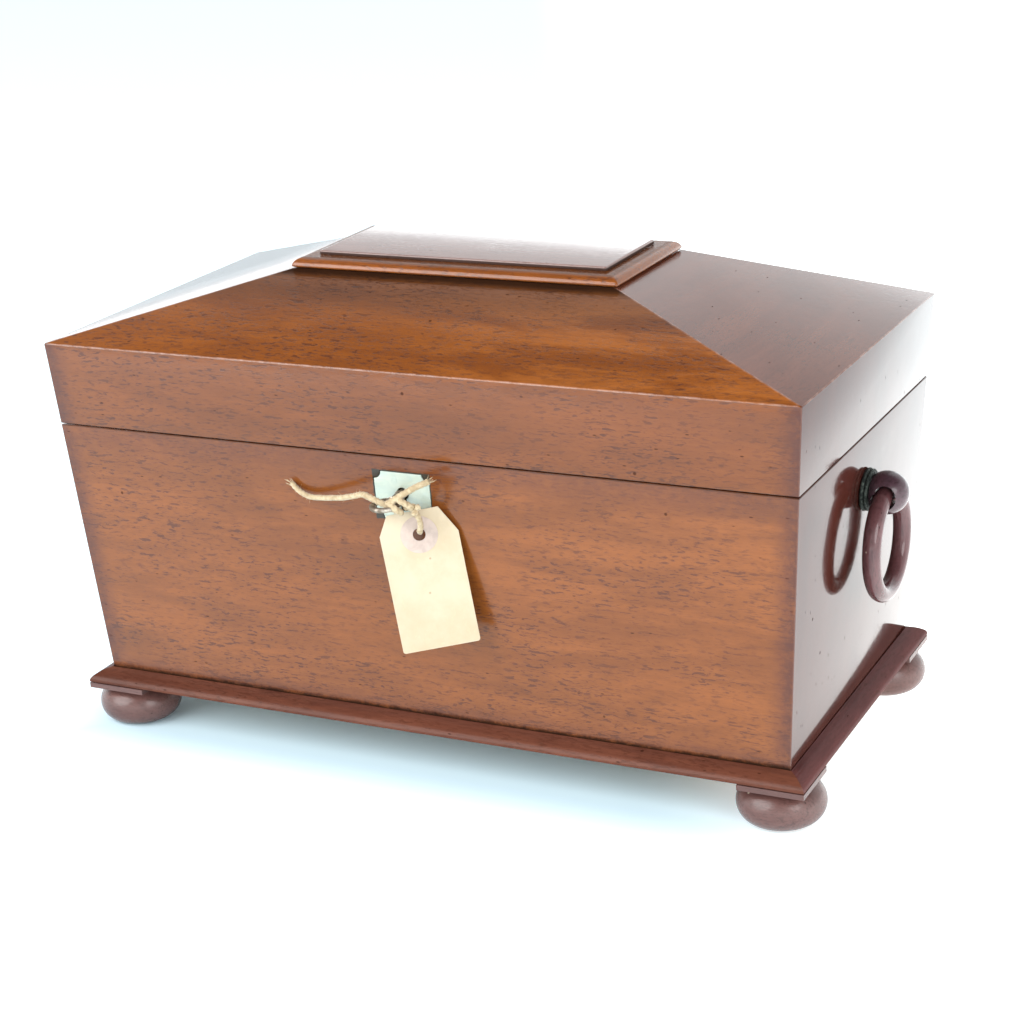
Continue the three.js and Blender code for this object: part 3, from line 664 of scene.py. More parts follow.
def softwood_material():
    """Bare pine or cedar, aged brown, as under the bottom board."""
    paint = Paint("bare_softwood")
    rings = paint.noise(16.0, 5.0, 0.6, 1.2, paint.scaled((1.0, 7.0, 7.0)))
    color = paint.mix(paint.step(rings, 0.35, 0.65), (0.22, 0.11, 0.05), (0.42, 0.25, 0.13))
    darkening = paint.noise(24.0, 4.0, 0.6)
    color = paint.mix(paint.step(darkening, 0.5, 0.75, 0.0, 0.6), color, (0.09, 0.05, 0.03))
    paint.set(Base_Color=color, Roughness=0.75)
    return paint.set(Normal=paint.bump(rings, 0.0004, 0.6))


WOOD_DARK = (0.126, 0.036, 0.008)
WOOD_LIGHT = (0.220, 0.065, 0.013)
PLUM_DARK = (0.062, 0.023, 0.025)
PLUM_LIGHT = (0.125, 0.049, 0.051)
END_DARK = (0.030, 0.007, 0.006)
END_LIGHT = (0.060, 0.016, 0.011)

FRONT_WOOD = wood(
    "front", "X", WOOD_DARK, WOOD_LIGHT, 0.31,
    coat_rough=0.16, pores=0.75, blotch=0.25, glow=0.05, darkening=0.9, stain=True,
)
END_WOOD = wood("ends", "Z", END_DARK, END_LIGHT, 1.13, pores=0.4, sunken=0.15, darkening=0.6)
LID_WOOD = wood(
    "lid", "X", (0.106, 0.030, 0.008), (0.184, 0.053, 0.012), 2.27,
    coat_rough=0.13, pores=0.75, blotch=0.25, darkening=0.9,
)
LID_END_WOOD = wood("lid_ends", "Z", END_DARK, END_LIGHT, 2.9, pores=0.4, sunken=0.15, darkening=0.6)
# The two bands just under the top moulding are painted shade: a narrow dark line and a softer, wider
# darkening.
SLOPE_WOOD = wood(
    "slope", "X", (0.125, 0.032, 0.007), (0.240, 0.068, 0.009), 3.41,
    pores=0.7, glow=0.3, shade_and_soil_bands=((0.2050, 0.0040, 0.9), (0.2050, 0.0150, 0.45)),
)
SLOPE_END_WOOD = wood(
    "slope_ends", "Y", (0.085, 0.022, 0.012), (0.15, 0.044, 0.022), 4.2,
    coat_rough=0.14, sunken=0.5,
)
# The bands at the foot of the top moulding and under the tablet are painted shade with soiling where the
# parts meet.
TOP_WOOD = wood(
    "top", "X", WOOD_DARK, (0.25, 0.068, 0.011), 5.13,
    coat_rough=0.10, wear=0.1, shade_and_soil_bands=((0.2041, 0.0008, 0.8), (0.2084, 0.0007, 0.45)),
)
EDGE_WOOD_X = wood("edge_x", "X", (0.060, 0.018, 0.012), (0.135, 0.045, 0.026), 6.1, coat=0.3, coat_rough=0.2)
EDGE_WOOD_Y = wood(
    "edge_y", "Y", (0.060, 0.017, 0.016), (0.12, 0.036, 0.033), 6.7,
    coat=0.25, coat_rough=0.12,
)
INNER_WOOD = wood("inner", "Y", (0.13, 0.042, 0.02), (0.26, 0.095, 0.042), 7.7, coat=0.4, coat_rough=0.2)
TURNED_WOOD = wood(
    "turned", "Z", PLUM_DARK, PLUM_LIGHT, 8.8, PLUM_PORE,
    coat_rough=0.09, pores=0.5,
)
BOSS_WOOD = wood(
    "boss", "Y", (0.042, 0.019, 0.027), (0.084, 0.040, 0.050), 8.1, PLUM_PORE,
    coat_rough=0.09, pores=0.5,
)
# Grey-pink base colour: partly bloomed, dusty polish and partly a painted reflection of the pale room that
# the coat alone does not give. The dark band at its foot is painted shade with soiling.
TABLET_WOOD = wood(
    "tablet", "X", (0.15, 0.085, 0.075), (0.23, 0.135, 0.118), 5.6,
    coat_ior=1.62, pores=0.5, sunken=0.5, wear=0.1, shade_and_soil_bands=((0.2086, 0.0012, 0.85),),
)
FOOT_WOOD = wood(
    "feet", "X", (0.066, 0.028, 0.025), (0.138, 0.064, 0.055), 9.4, (0.022, 0.010, 0.008),
    coat_rough=0.26, pores=0.4, blotch=0.3,
)
BRONZE = metal(
    "bronze_patina", (0.10, 0.12, 0.10), (0.012, 0.016, 0.014), 0.5,
    stain=0.6, scale=1100.0, metallic=0.6, bump=0.0004,
)
BRASS = metal("aged_brass", (0.52, 0.36, 0.14), (0.17, 0.10, 0.05), 0.32, 0.4)
STEEL = metal("worn_steel", (0.50, 0.44, 0.37), (0.20, 0.155, 0.115), 0.45, 0.5)
SHELL = bone("shell_plate", (0.47, 0.52, 0.43), (0.40, 0.47, 0.41), 0.25)
BONE = bone("turned_bone", (0.80, 0.73, 0.56), (0.66, 0.56, 0.38))
CARD = card_material()
PATCH = fibre_material("patch_ring", (0.54, 0.43, 0.37), (0.45, 0.355, 0.31), 160.0)
JUTE = fibre_material("jute_twine", (0.56, 0.45, 0.29), (0.38, 0.28, 0.165))
FOIL = foil_material()
GLASS = glass_material()
SOFTWOOD = softwood_material()

# --- twine pieces ---


def make_twine():
    rng = np.random.default_rng(11)
    tail, line = strand("tag_tail", TAIL_ROUTE, radius=TWINE * 0.58, steps=6, taper=(1, 0.92))
    piece(tail, "tag", "twine", JUTE, "tag_twine", smooth=70)
    rest = {
        "tag_wrap": [
            (4.2, -99.4, 124.2), (1.9, -100.2, 126.2), (-2.4, -99.6, 127.1), (-6.7, -99, 128.3),
            (-10.8, -98.4, 129.5),
        ],
        "tag_short_tail": [
            (0.9, -100.9, 127.6), (4.1, -100.6, 129.6), (7.4, -99.2, 131.7), (11.6, -96.6, 134.1),
            (16.2, -93.4, 136.0),
        ],
        "tag_cross": [
            (0.9, -100.6, 128.0), (3.4, -101.6, 127.0), (5.4, -101.0, 125.2), (5.6, -98.6, 123.6),
            (3.4, -96.8, 123.6),
        ],
        "tag_hitch": [
            (3.0, -96.4, 125.0), (3.2, -97.2, 128.2), (4.8, -99.6, 129.6), (7.6, -99.8, 128.4),
            (10.2, -98.6, 126.6), (11.6, -97.2, 124.2),
        ],
        "tag_loop_front": [
            (11.6, -98.2, 125.0), (12.5, -97.0, 122.0), (12.3, -95.4, 118.6), (11.2, -93.6, 115.9),
            (9.9, -92.2, 114.2), (9.2, -90.4, 113.0),
        ],
        "tag_loop_back": [
            (9.2, -90.4, 113.0), (8.2, -88.8, 113.4), (7.7, -88.9, 117.0), (8.2, -91.6, 121.6),
            (8.6, -95.4, 124.6), (7.4, -98.2, 126.0),
        ],
    }

    def add(part):
        piece(part, "tag", "twine", JUTE, smooth=70)

    for name, route in rest.items():
        part, _ = strand(name, route, radius=TWINE * (0.56 if "loop" in name else 0.64), steps=8)
        add(part)
    knot_line = []
    for k in range(15):
        t = 2 * pi * k / 15
        across = 1.5 * sin(t) + 1.2 * sin(2 * t)
        upward = 1.3 * cos(t) - 1.2 * cos(2 * t)
        knot_line.append(KNOT + Vector((across, 1.3 * cos(3 * t), upward)) * 0.78)
    bead, _ = strand("tag_bead", knot_line + knot_line[:2], TWINE * 0.5, steps=4)
    add(bead)
    ends = []
    for route, count in ((TAIL_ROUTE[-2:], 16), (rest["tag_short_tail"][-2:], 18)):
        start, end = (Vector(p) for p in route)
        ahead = (end - start).normalized()
        for _ in range(count):
            spread = Vector(rng.uniform(-1, 1, 3))
            ends.append((end - ahead * 0.6 + spread * 0.7, (ahead + spread * 0.35).normalized()))
    add(fibres("tag_frayed_ends", ends, rng, 2.6, 0.16))
    hairs = []
    for _ in range(46):
        spot = line[int(rng.integers(2, len(line) - 2))]
        away = Vector(rng.uniform(-1, 1, 3)).normalized()
        hairs.append((spot + away * 0.8, (away + Vector((-0.8, 0, 0))).normalized()))
    add(fibres("tag_fuzz", hairs, rng, 1.8, 0.05))


make_twine()

# --- case and lid boards ---

SIDES = {
    "front": {"cos": 0, "sin": -1, "long": True},
    "right": {"cos": 1, "sin": 0, "long": False},
    "back": {"cos": 0, "sin": 1, "long": True},
    "left": {"cos": -1, "sin": 0, "long": False},
}
ENDS = {"left": -1, "right": 1}
LOCK_X, KEY_Z = -1.3, 126
FRONT_AT_KEY = -half_y(KEY_Z)
HANDLE_Z, BALL_OUT = 116.8, 9.5
HINGE_X, HINGE_Y = 95, 86.6
HINGE_HALF, HINGE_DEPTH, HINGE_LEAF, KNUCKLE = 12.4, 8.4, 1.1, 2.2


def on_side(side, out, along, z):
    return Vector((out * side["cos"] - along * side["sin"], out * side["sin"] + along * side["cos"], z))


def hull(name, levels):
    """A closed solid between rectangles: (half x, half y, z) for each."""
    corners = ((-1, -1), (1, -1), (1, 1), (-1, 1))
    return loft(name, [[Vector((i * x, j * y, z)) for i, j in corners] for x, y, z in levels])


def wedge(name, side, apex, spread, low, high):
    """The part of the plan that belongs to one side: from its apex on the long axis, out along the mitres."""
    reach = 130
    if side["long"]:
        outline = [(-apex, 0), (apex, 0), (apex + reach * spread, reach), (-apex - reach * spread, reach)]
        outline = [(x, (y - MITRE) * side["sin"]) for x, y in outline]
    else:
        outline = [(apex, 0), (apex + reach * spread, reach), (apex + reach * spread, -reach)]
        outline = [((x + MITRE * spread) * side["cos"], y) for x, y in outline]
    return prism(name, outline, low, high)


# Where the mitres meet on the long axis, and how far they go out for each millimetre across.
WALL_PLAN = (EAVE_X - EAVE_Y, 1)
HIP_SPREAD = (EAVE_X - LID_TOP_X) / (EAVE_Y - LID_TOP_Y)
HIP_PLAN = (LID_TOP_X - LID_TOP_Y * HIP_SPREAD, HIP_SPREAD)


def keyhole(name, radius, slot, depth, y0, y1):
    angle = degrees(acos(slot / radius))
    outline = arc(0, 0, radius, radius, -angle, 180 + angle, 25) + [(-slot, -depth), (slot, -depth)]
    place = moved(LOCK_X, y1, KEY_Z) @ turned(pi / 2, "X")
    return prism(name, outline, 0, y1 - y0, place)


def escutcheon_outline(grow):
    """A plate with four scooped corners, drawn about the key's axis."""
    x, top, bottom, notch = 12.65 + grow, 9.1 + grow, -11.4 - grow, 3.3
    corners = (((x, bottom), 180, 90), ((x, top), 270, 180), ((-x, top), 360, 270), ((-x, bottom), 90, 0))
    return [point for (cx, cy), *turn in corners for point in arc(cx, cy, notch, notch, *turn, 13)]


def onto_front(depth):
    return (
        moved(LOCK_X, FRONT_AT_KEY, KEY_Z)
        @ turned(pi / 2 + TILT, "X")
        @ moved(0, 0, -depth)
    )


def front_cuts():
    return [
        prism("recess", escutcheon_outline(FIT), 0, 3, onto_front(1.1 + FIT)),
        keyhole("keyhole", 3.4, 1.9, 8, -90, -70),
        block("mortise", LOCK_X - 22.3, LOCK_X + 22.3, -81.1, -60, 115.2, 150),
        block("selvedge", LOCK_X - 27, LOCK_X + 27, -83.3, -60, 139.7, 150),
    ]


def hinge_cuts(low, high):
    tools = []
    half = HINGE_HALF + FIT
    for end in ENDS.values():
        x = end * HINGE_X
        tools.append(block("leaf_room", x - half, x + half, HINGE_Y - HINGE_DEPTH - FIT, 95, low, high))
        place = moved(x, HINGE_Y, SEAM_Z) @ turned(pi / 2, "Y")
        tools.append(rod("barrel_room", KNUCKLE + 0.5, 2 * half, place))
    return tools


def handle_place(side):
    """Stands a piece turned about +Z square to an end board, at the height of the handle."""
    lift = HANDLE_Z + BALL_OUT * TAPER
    turn = side["cos"] * (pi / 2 + TILT)
    return moved(side["cos"] * half_x(HANDLE_Z), 0, lift) @ turned(turn, "Y")


def cut_board(shell, node, body, material, side, plan, low, high, cuts=()):
    """One side's share of a mitred shell, as a board of its own."""
    board = add_object(f"caddy_{node}", shell.data.copy())
    carve(board, wedge("wedge", side, *plan, low, high), operation="INTERSECT")
    if cuts:
        carve(board, *cuts)
    mark_arrises(board)
    piece(board, body, "mahogany", material, node)


def make_boards():
    low, high = BODY_BOTTOM, SEAM_Z - SEAM_HALF
    shell = hull("case_shell", [(half_x(z), half_y(z), z) for z in (low, high)])
    round_shell(shell, high)
    carve(shell, hull("case_room", [(half_x(z) - WALL, half_y(z) - WALL, z) for z in (low - 2, high + 2)]))
    leaf_floor = SEAM_Z - 0.1 - HINGE_LEAF - FIT
    cuts = {
        "front": front_cuts(),
        "back": hinge_cuts(leaf_floor, 150),
        **{end: [rod("peg_hole", 3.9, 40, handle_place(SIDES[end]))] for end in ENDS},
    }
    for name, side in SIDES.items():
        node = f"{name}_board" if side["long"] else f"{name}_end_board"
        material = FRONT_WOOD if side["long"] else END_WOOD
        cut_board(shell, node, "case", material, side, WALL_PLAN, 0, 160, cuts[name])
    bpy.data.objects.remove(shell)


def make_lid():
    bottom = SEAM_Z + SEAM_HALF
    shell = hull("lid_shell", [
        (half_x(bottom), half_y(bottom), bottom), (EAVE_X, EAVE_Y, EAVE_Z), (LID_TOP_X, LID_TOP_Y, LID_TOP_Z),
    ])
    round_shell(shell, bottom, EAVE_Z)
    room = hull("lid_room", [(half_x(z) - WALL, half_y(z) - WALL, z) for z in (bottom - 2, 210)])
    under = EAVE_Z - SLOPE_DEPTH
    rise = LID_TOP_Z - EAVE_Z
    reach = (rise + SLOPE_DEPTH + 1) / rise
    inner_x = half_x(under) - (EAVE_X - LID_TOP_X) * reach
    inner_y = half_y(under) - (EAVE_Y - LID_TOP_Y) * reach
    ceiling = hull("ceiling", [
        (half_x(under), half_y(under), 130),
        (half_x(under), half_y(under), under),
        (inner_x, inner_y, LID_TOP_Z + 1),
    ])
    carve(room, ceiling, operation="INTERSECT")
    carve(shell, room)
    leaf_ceiling = SEAM_Z + 0.1 + HINGE_LEAF + FIT
    cuts = {
        "front": [block("plate_room", LOCK_X - 24.3, LOCK_X + 24.3, -82.8, -60, 130, bottom + 1.8)],
        "back": hinge_cuts(130, leaf_ceiling),
    }
    split = EAVE_Z - 0.25
    for name, side in SIDES.items():
        rim, slope = (LID_WOOD, SLOPE_WOOD) if side["long"] else (LID_END_WOOD, SLOPE_END_WOOD)
        cut_board(shell, f"lid_{name}_rim", "lid", rim, side, WALL_PLAN, 100, split, cuts.get(name, ()))
        cut_board(shell, f"lid_{name}_slope", "lid", slope, side, HIP_PLAN, split + 0.02, 230)
    bpy.data.objects.remove(shell)


make_boards()
make_lid()

# --- mouldings, pads and feet ---


def flat_profile(points, steps=5):
    """(x, y) pairs along a smooth line through the given points."""
    return [(p.x, p.y) for p in smooth_line([(x, y, 0) for x, y in points], steps)]


def make_base_moulding():
    crown = [(7.75, 20.35), (7.8, 20.9), (7.4, 21.9), (6.1, 23.15), (3.6, 24.65), (1.4, 25.35), (0.5, 25.6)]
    profile = [(0, 20), (7.2, 20), (7.5, 20.1), *flat_profile(crown), (0.3, 25.7), (0, 25.7)]
    for name, side in SIDES.items():
        out, along = half_x(25.7), half_y(25.7)
        if side["long"]:
            out, along = along, out
        ends = [
            [on_side(side, out + FIT + step, end * (along + FIT + step - MITRE), z) for step, z in profile]
            for end in (-1, 1)
        ]
        strip = loft(f"caddy_{name}_base_moulding", ends)
        mark_arrises(strip, 0.0)
        material = EDGE_WOOD_X if side["long"] else EDGE_WOOD_Y
        piece(strip, "case", "mahogany", material, f"{name}_base_moulding", smooth=30)


def rounded_rectangle(x, y, z, radius):
    x, y = x - radius, y - radius
    corners = ((x, y, 0), (-x, y, 90), (-x, -y, 180), (x, -y, 270))
    points = [p for cx, cy, first in corners for p in arc(cx, cy, radius, radius, first, first + 90, 4)]
    return [Vector((*p, z)) for p in points]


def make_top():
    thumb = [
        (0.25, 204.55), (0, 204.95), (0.05, 205.5), (0.6, 206.5), (1.6, 207.4), (2.9, 207.95), (4.2, 208.18),
    ]
    levels = [(1.3, 204), (1.3, 204.42), (0.5, 204.46), *flat_profile(thumb, 4), (4.7, 208.2)]
    rings = [rounded_rectangle(75.4 - inset, 35.1 - inset, z, 0.9) for inset, z in levels]
    moulding = loft("caddy_top_moulding", rings)
    mark_arrises(moulding, 0.0)
    piece(moulding, "lid", "mahogany", TOP_WOOD, "top_moulding", smooth=30)
    edge = [(0, 208.3), (0, 209.3), (0.08, 209.65), (0.3, 209.9), (0.65, 210)]
    rings = [rounded_rectangle(66.65 - inset, 25.5 - inset, z, 0.7) for inset, z in edge]
    tablet = loft("caddy_top_tablet", rings)
    mark_arrises(tablet, 0.5)
    piece(tablet, "lid", "mahogany", TABLET_WOOD, "top_tablet", smooth=50)


def finish_node(name, material, *edge):
    """A CAD node whose shape is right keeps it and gets its finish. edge says how its edges are rounded."""
    node = NODES[name]
    if edge:
        soften(node, *edge)
    node.data.materials.clear()
    node.data.materials.append(material)


def make_feet():
    height, radius, core = 17.2, 18.3, 10.5
    middle_z = height * 0.48
    for corner_y, y in (("front", -1), ("back", 1)):
        for corner_x, x in ENDS.items():
            corner = f"{corner_y}_{corner_x}"
            profile = [(0, 0.15), (core - 1.2, 0.15), (core - 0.9, 0), (core, 0)]
            profile += arc(core, middle_z, radius - core, middle_z, -84, 62, 26)
            profile += [(13.0, 16.3), (12.7, 16.7), (12.9, height), (6, height), (6, 19.8), (0, 19.8)]
            foot = lathe(f"caddy_{corner}_foot", profile, moved(x * 153.4, y * 69, 0), 72)
            piece(foot, "case", "turned_mahogany", FOOT_WOOD, f"{corner}_foot", smooth=35)
            finish_node(f"{corner}_pad", FOOT_WOOD, 0.00035, 3)


make_base_moulding()
make_top()
make_feet()

# --- ring handles ---


def swing_slot(centre, sign, y, ring_radius, bore):
    """The room that the ring sweeps out in its boss, at y from the middle, as it swings up and outward."""
    drop = ring_radius - sqrt(ring_radius ** 2 - y ** 2)
    outline = []
    for heading in range(0, 360, 8):
        nearest = min(max(heading, -10), 122) if heading < 246 else -10
        off = radians(min(abs(heading - nearest), abs(360 + nearest - heading)))
        side = drop * sin(off)
        reach = drop * cos(off) + sqrt(bore ** 2 - side ** 2)
        t = radians(heading)
        outline.append(centre + Vector((sign * reach * sin(t), y, -reach * cos(t))))
    return outline


def make_handles():
    ball, collar_face, spigot = 9, 3.4, 3.6
    ring_radius, ring_section, ring_hole = 21.2, 3.82, 4.4
    slices = np.linspace(-9.8, 9.8, 19)
    for end, sign in ENDS.items():
        side = SIDES[end]
        place = handle_place(side)
        back = collar_face + FIT
        profile = [(0, -WALL + 1), (spigot, -WALL + 1), (spigot, back)]
        start = degrees(asin((back - BALL_OUT) / ball))
        profile += arc(0, BALL_OUT, ball, ball, start, 90, 36)[:-1] + [(0, BALL_OUT + ball)]
        boss = lathe(f"caddy_{end}_handle_boss", profile, place, 72)
        centre_x = half_x(HANDLE_Z) + BALL_OUT * cos(TILT)
        centre = Vector((sign * centre_x, 0, HANDLE_Z + BALL_OUT * (TAPER - sin(TILT))))
        hole = loft("hole", [swing_slot(centre, sign, y, ring_radius, ring_hole) for y in slices])
        carve(boss, hole)
        piece(boss, "case", "turned_mahogany", BOSS_WOOD, f"{end}_handle_boss")
        bore = spigot + FIT
        beads = [(9.0 - 0.55, FIT)]
        for low_z, high_z, face in ((FIT, 1.8, 9.0), (1.9, collar_face, 8.75)):
            beads += arc(face - 0.75, (low_z + high_z) / 2, 0.75, (high_z - low_z) / 2, -80, 80, 9)
        beads += [(7.4, collar_face), (bore, collar_face), (bore, FIT)]
        collar = lathe(f"caddy_{end}_handle_collar", beads, place, 72)
        piece(collar, "case", "bronze", BRONZE, f"{end}_handle_collar", smooth=60)
        hang = Matrix.Translation(centre - Vector((0, 0, ring_radius))) @ turned(pi / 2, "Y")
        ring = torus(f"caddy_{end}_handle_ring", ring_radius, ring_section, hang)
        piece(ring, f"{end}_ring", "turned_mahogany", TURNED_WOOD, f"{end}_handle_ring", smooth=80)


make_handles()

# --- escutcheon, key, lock and hinges ---


def make_escutcheon():
    plate = prism("caddy_escutcheon", escutcheon_outline(0), 0, 1.2, onto_front(1.1))
    carve(plate, keyhole("keyhole", 2.7, 1.5, 7.6, -92, -78))
    soften(plate, 0.18, 2, 50)
    piece(plate, "case", "shell", SHELL, "escutcheon")


def make_key():
    end_y, bow_y = -75.2, FRONT_AT_KEY - 15
    mean, section, bow_x, bow_half = 5.3, 1.3, 5, 6
    shank_end = end_y - bow_y - bow_half
    collar = end_y - FRONT_AT_KEY + 1.8
    profile = [(0, 9), (1.25, 8.6), (1.25, 0), (1.7, 0), (1.9, 0.25), (1.9, collar - 0.4)]
    profile += arc(1.9, collar + 0.75, 0.4, 0.75, -90, 90, 11)
    profile += [(1.9, collar + 1.7), (1.55, shank_end - 1.8), (1.75, shank_end - 0.6)]
    profile += [(1.9, shank_end + 0.2), (0, shank_end + 0.9)]
    shank = lathe("caddy_key", profile, segments=40)
    bit = block("bit", -5.2, -1.6, -0.9, 0.9, 0.4, 3.8)
    carve(bit, block("notch", -5.6, -3.6, -2, 2, 1.7, 2.4))
    bow_place = (
        moved(0, 0, end_y - bow_y)
        @ turned(pi / 2, "X")
        @ Matrix.Diagonal((bow_x / mean, bow_half / mean, 1, 1))
    )
    bow = torus("bow", mean, section * 0.85, bow_place, 72, 20)
    carve(shank, bit, bow, operation="UNION")
    shank.data.transform(moved(LOCK_X, end_y, KEY_Z) @ turned(pi / 2, "X"))
    soften(shank, 0.12, 2, 50)
    piece(shank, "key", "steel", STEEL, "key", smooth=45)


def screws(name, spots, up, body):
    """Countersunk screws with slotted heads, each turned its own way."""
    parts = []
    for n, (x, y, z, radius) in enumerate(spots):
        dome = [(0, -0.9), (radius * 0.4, -0.9), (radius, -0.12), (radius, 0)]
        dome += [(radius * 0.6, 0.03), (0, 0.04)]
        head = lathe(f"{name}_{n}", dome, segments=28)
        slot = block("slot", -radius * 1.2, radius * 1.2, -0.18, 0.18, -0.35, 1)
        carve(head, slot)
        turn = turned(0.5 + 1.1 * n, "Z")
        face = Matrix.Identity(4) if up else turned(pi, "X")
        head.data.transform(moved(x, y, z) @ face @ turn)
        parts.append(head)
    piece(joined(name, parts), body, "brass", BRASS, smooth=30)


def make_ironwork():
    for end, sign in ENDS.items():
        finish_node(f"{end}_hinge_pin", BRASS)
        for leaf in ("case_leaf", "lid_leaf"):
            finish_node(f"{end}_hinge_{leaf}", BRASS, 0.00012, 2, 50)
        row = [(sign * HINGE_X + step, HINGE_Y - 5.6) for step in (-8.2, 0, 8.2)]
        screws(f"{end}_case_hinge_screws", [(x, y, SEAM_Z - 0.1, 1.5) for x, y in row], True, "case")
        screws(f"{end}_lid_hinge_screws", [(x, y, SEAM_Z + 0.1, 1.5) for x, y in row], False, "lid")
    for name in ("lock_case", "lock_bolt", "link_plate"):
        finish_node(name, BRASS, 0.00015, 2, 50)
    finish_node("lock_drill_pin", STEEL)
    screws("lock_screws", [(LOCK_X + 24.3 * s, -78.2, 141.3, 1.5) for s in (-1, 1)], True, "case")
    screws("link_plate_screws", [(LOCK_X + 20.5 * s, -78.3, 142.1, 1.5) for s in (-1, 1)], False, "lid")


make_escutcheon()
make_key()
make_ironwork()

# --- inside ---


def make_inside():
    finish_node("bottom_board", SOFTWOOD)
    finish_node("bowl_board", INNER_WOOD, 0.0004, 3, 50)
    outer = half_x(132) - WALL
    waist = [
        (2.6, 0.05), (2.3, 1.0), (2.0, 2.2), (2.15, 3.3), (2.7, 4.2), (3.7, 5.0), (4.4, 5.9), (4.6, 7.0),
    ]
    crown = [(4.6, 7.0), (4.35, 8.4), (3.7, 9.5), (2.5, 10.5), (1.2, 10.92), (0.3, 11.0)]
    for end, sign in ENDS.items():
        finish_node(f"{end}_partition", INNER_WOOD, 0.0008, 3)
        finish_node(f"{end}_foil_liner", FOIL)
        finish_node(f"{end}_compartment_lid", INNER_WOOD, 0.0009, 3)
        profile = [(0, 0), (2.6, 0), *flat_profile(waist, 3)[:-1], *flat_profile(crown, 3), (0, 11)]
        place = moved(sign * (58.2 + outer) / 2, 0, 132.1)
        knob = lathe(f"caddy_{end}_knob", profile, place, 56)
        piece(knob, f"{end}_compartment_cover", "bone", BONE, f"{end}_compartment_knob", smooth=50)
    outside = [
        (29.6, 0.3), (30, 2), (29.4, 4), (29.2, 6), (31, 14), (35.3, 26), (39, 42), (41.2, 60), (43.6, 84),
        (45, 100.5),
    ]
    lip = [(45, 100.5), (45.1, 102.6), (44.3, 104.3), (43.2, 104.4), (42.4, 102.8), (42.2, 100.5)]
    inside = [
        (42.2, 100.5), (40.9, 84), (38.4, 60), (36.2, 42), (32.4, 27), (27.5, 16), (20, 11.6), (8, 10.1),
    ]
    profile = [(0, 0.6), (24, 0.6), (25.5, 0), (29, 0)]
    profile += flat_profile(outside, 3)[:-1] + flat_profile(lip, 3)[:-1] + flat_profile(inside, 3) + [(0, 10)]
    bowl = lathe("caddy_glass_bowl", profile, moved(0, 0, 26.5), 96)
    piece(bowl, "bowl", "glass", GLASS, "glass_bowl", smooth=60)


make_inside()

# --- paper tag ---

TAG_PLACE = (
    Matrix.Translation(TAG_HOLE)
    @ turned(0.428, "Z")
    @ turned(pi / 2 - 0.16, "X")
    @ turned(0.144, "Z")
)


TAG_TOP, TAG_BOTTOM, TAG_HALF = 9.9, -47.4, 15.92  # from the eye
TAG_HEIGHT = TAG_TOP - TAG_BOTTOM


def tag_edges(v):
    """The left and right edges of the tag at height v above its eye, with clipped and rounded corners."""
    left, right = -TAG_HALF, TAG_HALF
    if v > 1.8:
        left += 4.4 * (v - 1.8) / (TAG_TOP - 1.8)
    if v > -1.2:
        right -= 6.4 * (v + 1.2) / (TAG_TOP + 1.2)
    corner = 1.1
    if v < TAG_BOTTOM + corner:
        inset = corner - sqrt(max(0.0, corner ** 2 - (TAG_BOTTOM + corner - v) ** 2))
        left += inset
        right -= inset
    return left, right


def tag_curl(u, v):
    """How far the card bows out of its plane."""
    share = (v - TAG_BOTTOM) / TAG_HEIGHT
    return 0.35 * sin(share * pi) * (u / 16) - 0.5 * (share - 0.5) ** 2


def make_tag():
    rows = [TAG_BOTTOM, -47.35, -47.2, -46.95, -46.6, -46.3, *np.linspace(-44, -2, 26)]
    rows += [-1.2, 0.4, 1.8, *np.linspace(3, TAG_TOP, 8)]
    columns = 22
    thick = 0.4
    bm = bmesh.new()
    rims = []
    for level in (-thick / 2, thick / 2):
        grid = [
            [bm.verts.new((u, v, tag_curl(u, v) + level)) for u in np.linspace(*tag_edges(v), columns)]
            for v in rows
        ]
        for a, b in zip(grid, grid[1:]):
            for i in range(columns - 1):
                bm.faces.new((a[i], a[i + 1], b[i + 1], b[i]))
        right_side = [row[-1] for row in grid[1:]]
        left_side = [row[0] for row in grid[-2:0:-1]]
        rims.append(grid[0] + right_side + grid[-1][-2::-1] + left_side)
    skin(bm, rims, False)
    bmesh.ops.recalc_face_normals(bm, faces=bm.faces)
    tag = new_object("caddy_paper_tag", bm)
    carve(tag, rod("eye", 2.62, 6, Matrix.Identity(4), 40))
    tag.data.transform(TAG_PLACE)
    piece(tag, "tag", "paper", CARD, "paper_tag", smooth=35)
    for name, facing in (("front", 1), ("back", -1)):
        near, far = thick / 2 - 0.12, thick / 2 + 0.14
        profile = [(2.6, near), (2.6, far - 0.04), (2.75, far), (7.45, far), (7.6, far - 0.06), (7.6, near)]
        patch = lathe(f"caddy_tag_patch_{name}", [(r, z * facing) for r, z in profile], segments=64)
        for vertex in patch.data.vertices:
            vertex.co.z += tag_curl(vertex.co.x, vertex.co.y)
        patch.data.transform(TAG_PLACE)
        piece(patch, "tag", "paper", PATCH, smooth=35)


make_tag()

# --- floor and light ---


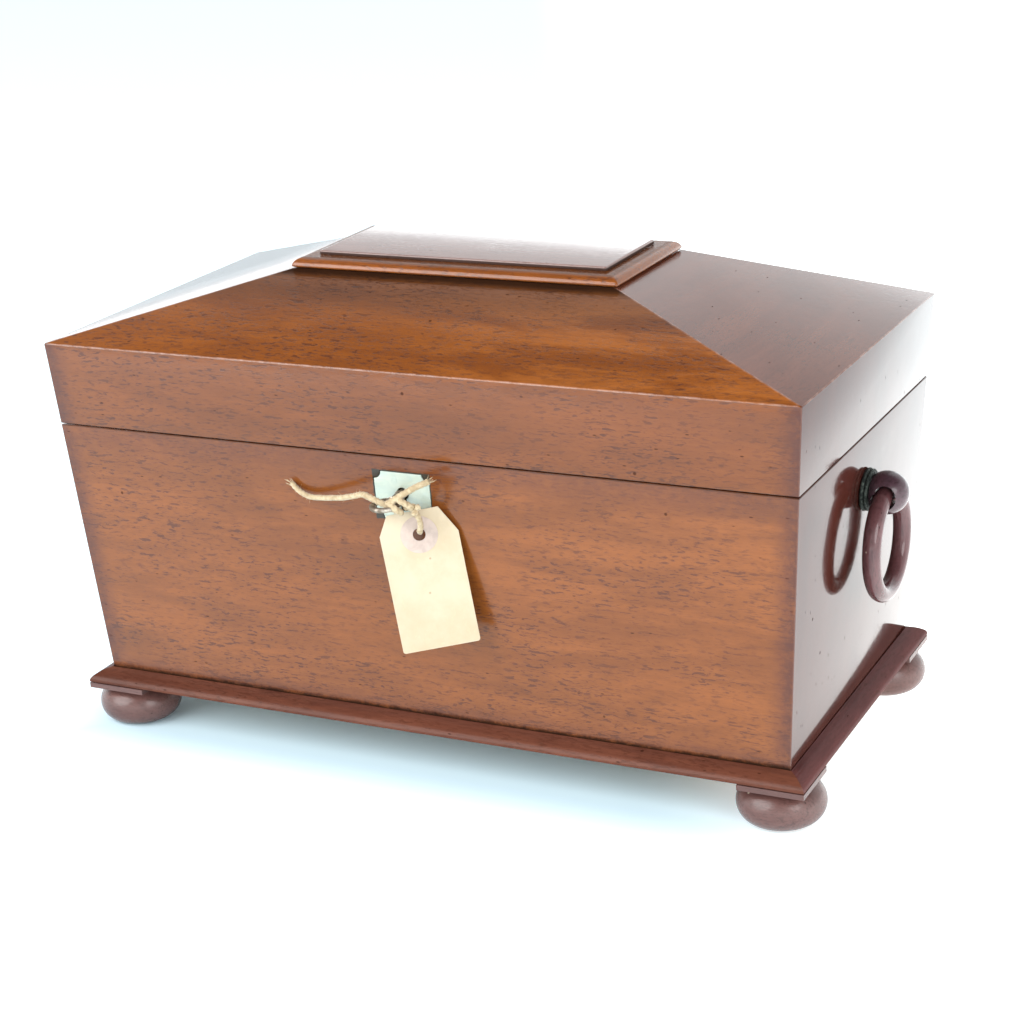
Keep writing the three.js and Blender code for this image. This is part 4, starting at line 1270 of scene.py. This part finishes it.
def make_floor():
    bm = bmesh.new()
    half = 9.0
    bm.faces.new([bm.verts.new((x * half, y * half, 0)) for x, y in ((-1, -1), (1, -1), (1, 1), (-1, 1))])
    floor = new_object("floor", bm)
    paint = Paint("pale_floor")
    cloud = paint.noise(1.5, 2.0)
    paint.set(Base_Color=paint.mix(cloud, (0.68, 0.88, 0.985), (0.71, 0.91, 0.99)), Roughness=0.9)
    # The floor glows as painted light: brightest behind and to the right, and fading to none under and just
    # beside the case, which leaves a painted shadow round it.
    x, y, _ = paint.axes
    away = paint.math("SQRT", paint.math("MULTIPLY_ADD", x, x, paint.times(y, y)))
    rightward = paint.math("MULTIPLY_ADD", x, 0.9, paint.times(y, 0.44))
    shade_half_x, shade_half_y = 0.165, 0.080  # the floor under the case, which gets no light from behind
    beside = paint.minus(paint.math("ABSOLUTE", x), shade_half_x)
    before = paint.minus(paint.math("ABSOLUTE", y), shade_half_y)
    clear = paint.step(paint.larger(beside, before), -0.008, 0.034, 0.0, 0.5)
    glare = paint.times(clear, paint.step(away, 0.5, 1.5, 1.0, 0.65))
    near_share = paint.step(away, 0.3, 0.7, 1.0, 0.62)
    backlit = paint.times(paint.step(rightward, 0.05, 0.21, 0.0, 1.4), near_share)
    glare = paint.math("ADD", glare, backlit)
    floor.data.materials.append(paint.set(Emission_Color=(1.0, 0.95, 0.90), Emission_Strength=glare))


def area_light(name, position, target, size, power):
    data = bpy.data.lights.new(name, "AREA")
    data.shape = "DISK"
    data.size = size
    data.energy = power
    light = add_object(name, data)
    light.location = position
    light.rotation_euler = (Vector(target) - Vector(position)).to_track_quat("-Z", "Y").to_euler()
    light.visible_camera = False


def make_world():
    """A white room: brightest behind, white round about and dim overhead."""
    world = bpy.data.worlds.new("room")
    bpy.context.scene.world = world
    world.use_nodes = True
    nodes = Nodes(world.node_tree)
    direction = nodes.node("TexCoord").outputs["Generated"]
    _, y, z = nodes.node("SeparateXYZ", {"Vector": direction}).outputs
    behind = nodes.step(y, 0.35, 0.80, 0.15, 1.5)
    around = nodes.step(z, 0.40, 0.84, 1.5, 0.15)
    low = nodes.step(z, 0.02, 0.22, 1.4, 0.0)
    strength = nodes.math("ADD", nodes.larger(behind, around), low)
    room = nodes.node("Background", {"Color": (0.95, 0.985, 1.0), "Strength": strength})
    nodes.node("OutputWorld", {"Surface": room.outputs[0]})


make_floor()
make_world()
area_light("key_light", (-1.2, -1.8, 1.5), (0, -0.1, 0.1), 2.4, 71)
area_light("fill_light", (1.5, -0.9, 0.8), (0.1, 0, 0.08), 1.0, 10)

scene = bpy.context.scene
scene.view_settings.view_transform = "Standard"
scene.view_settings.look = "None"
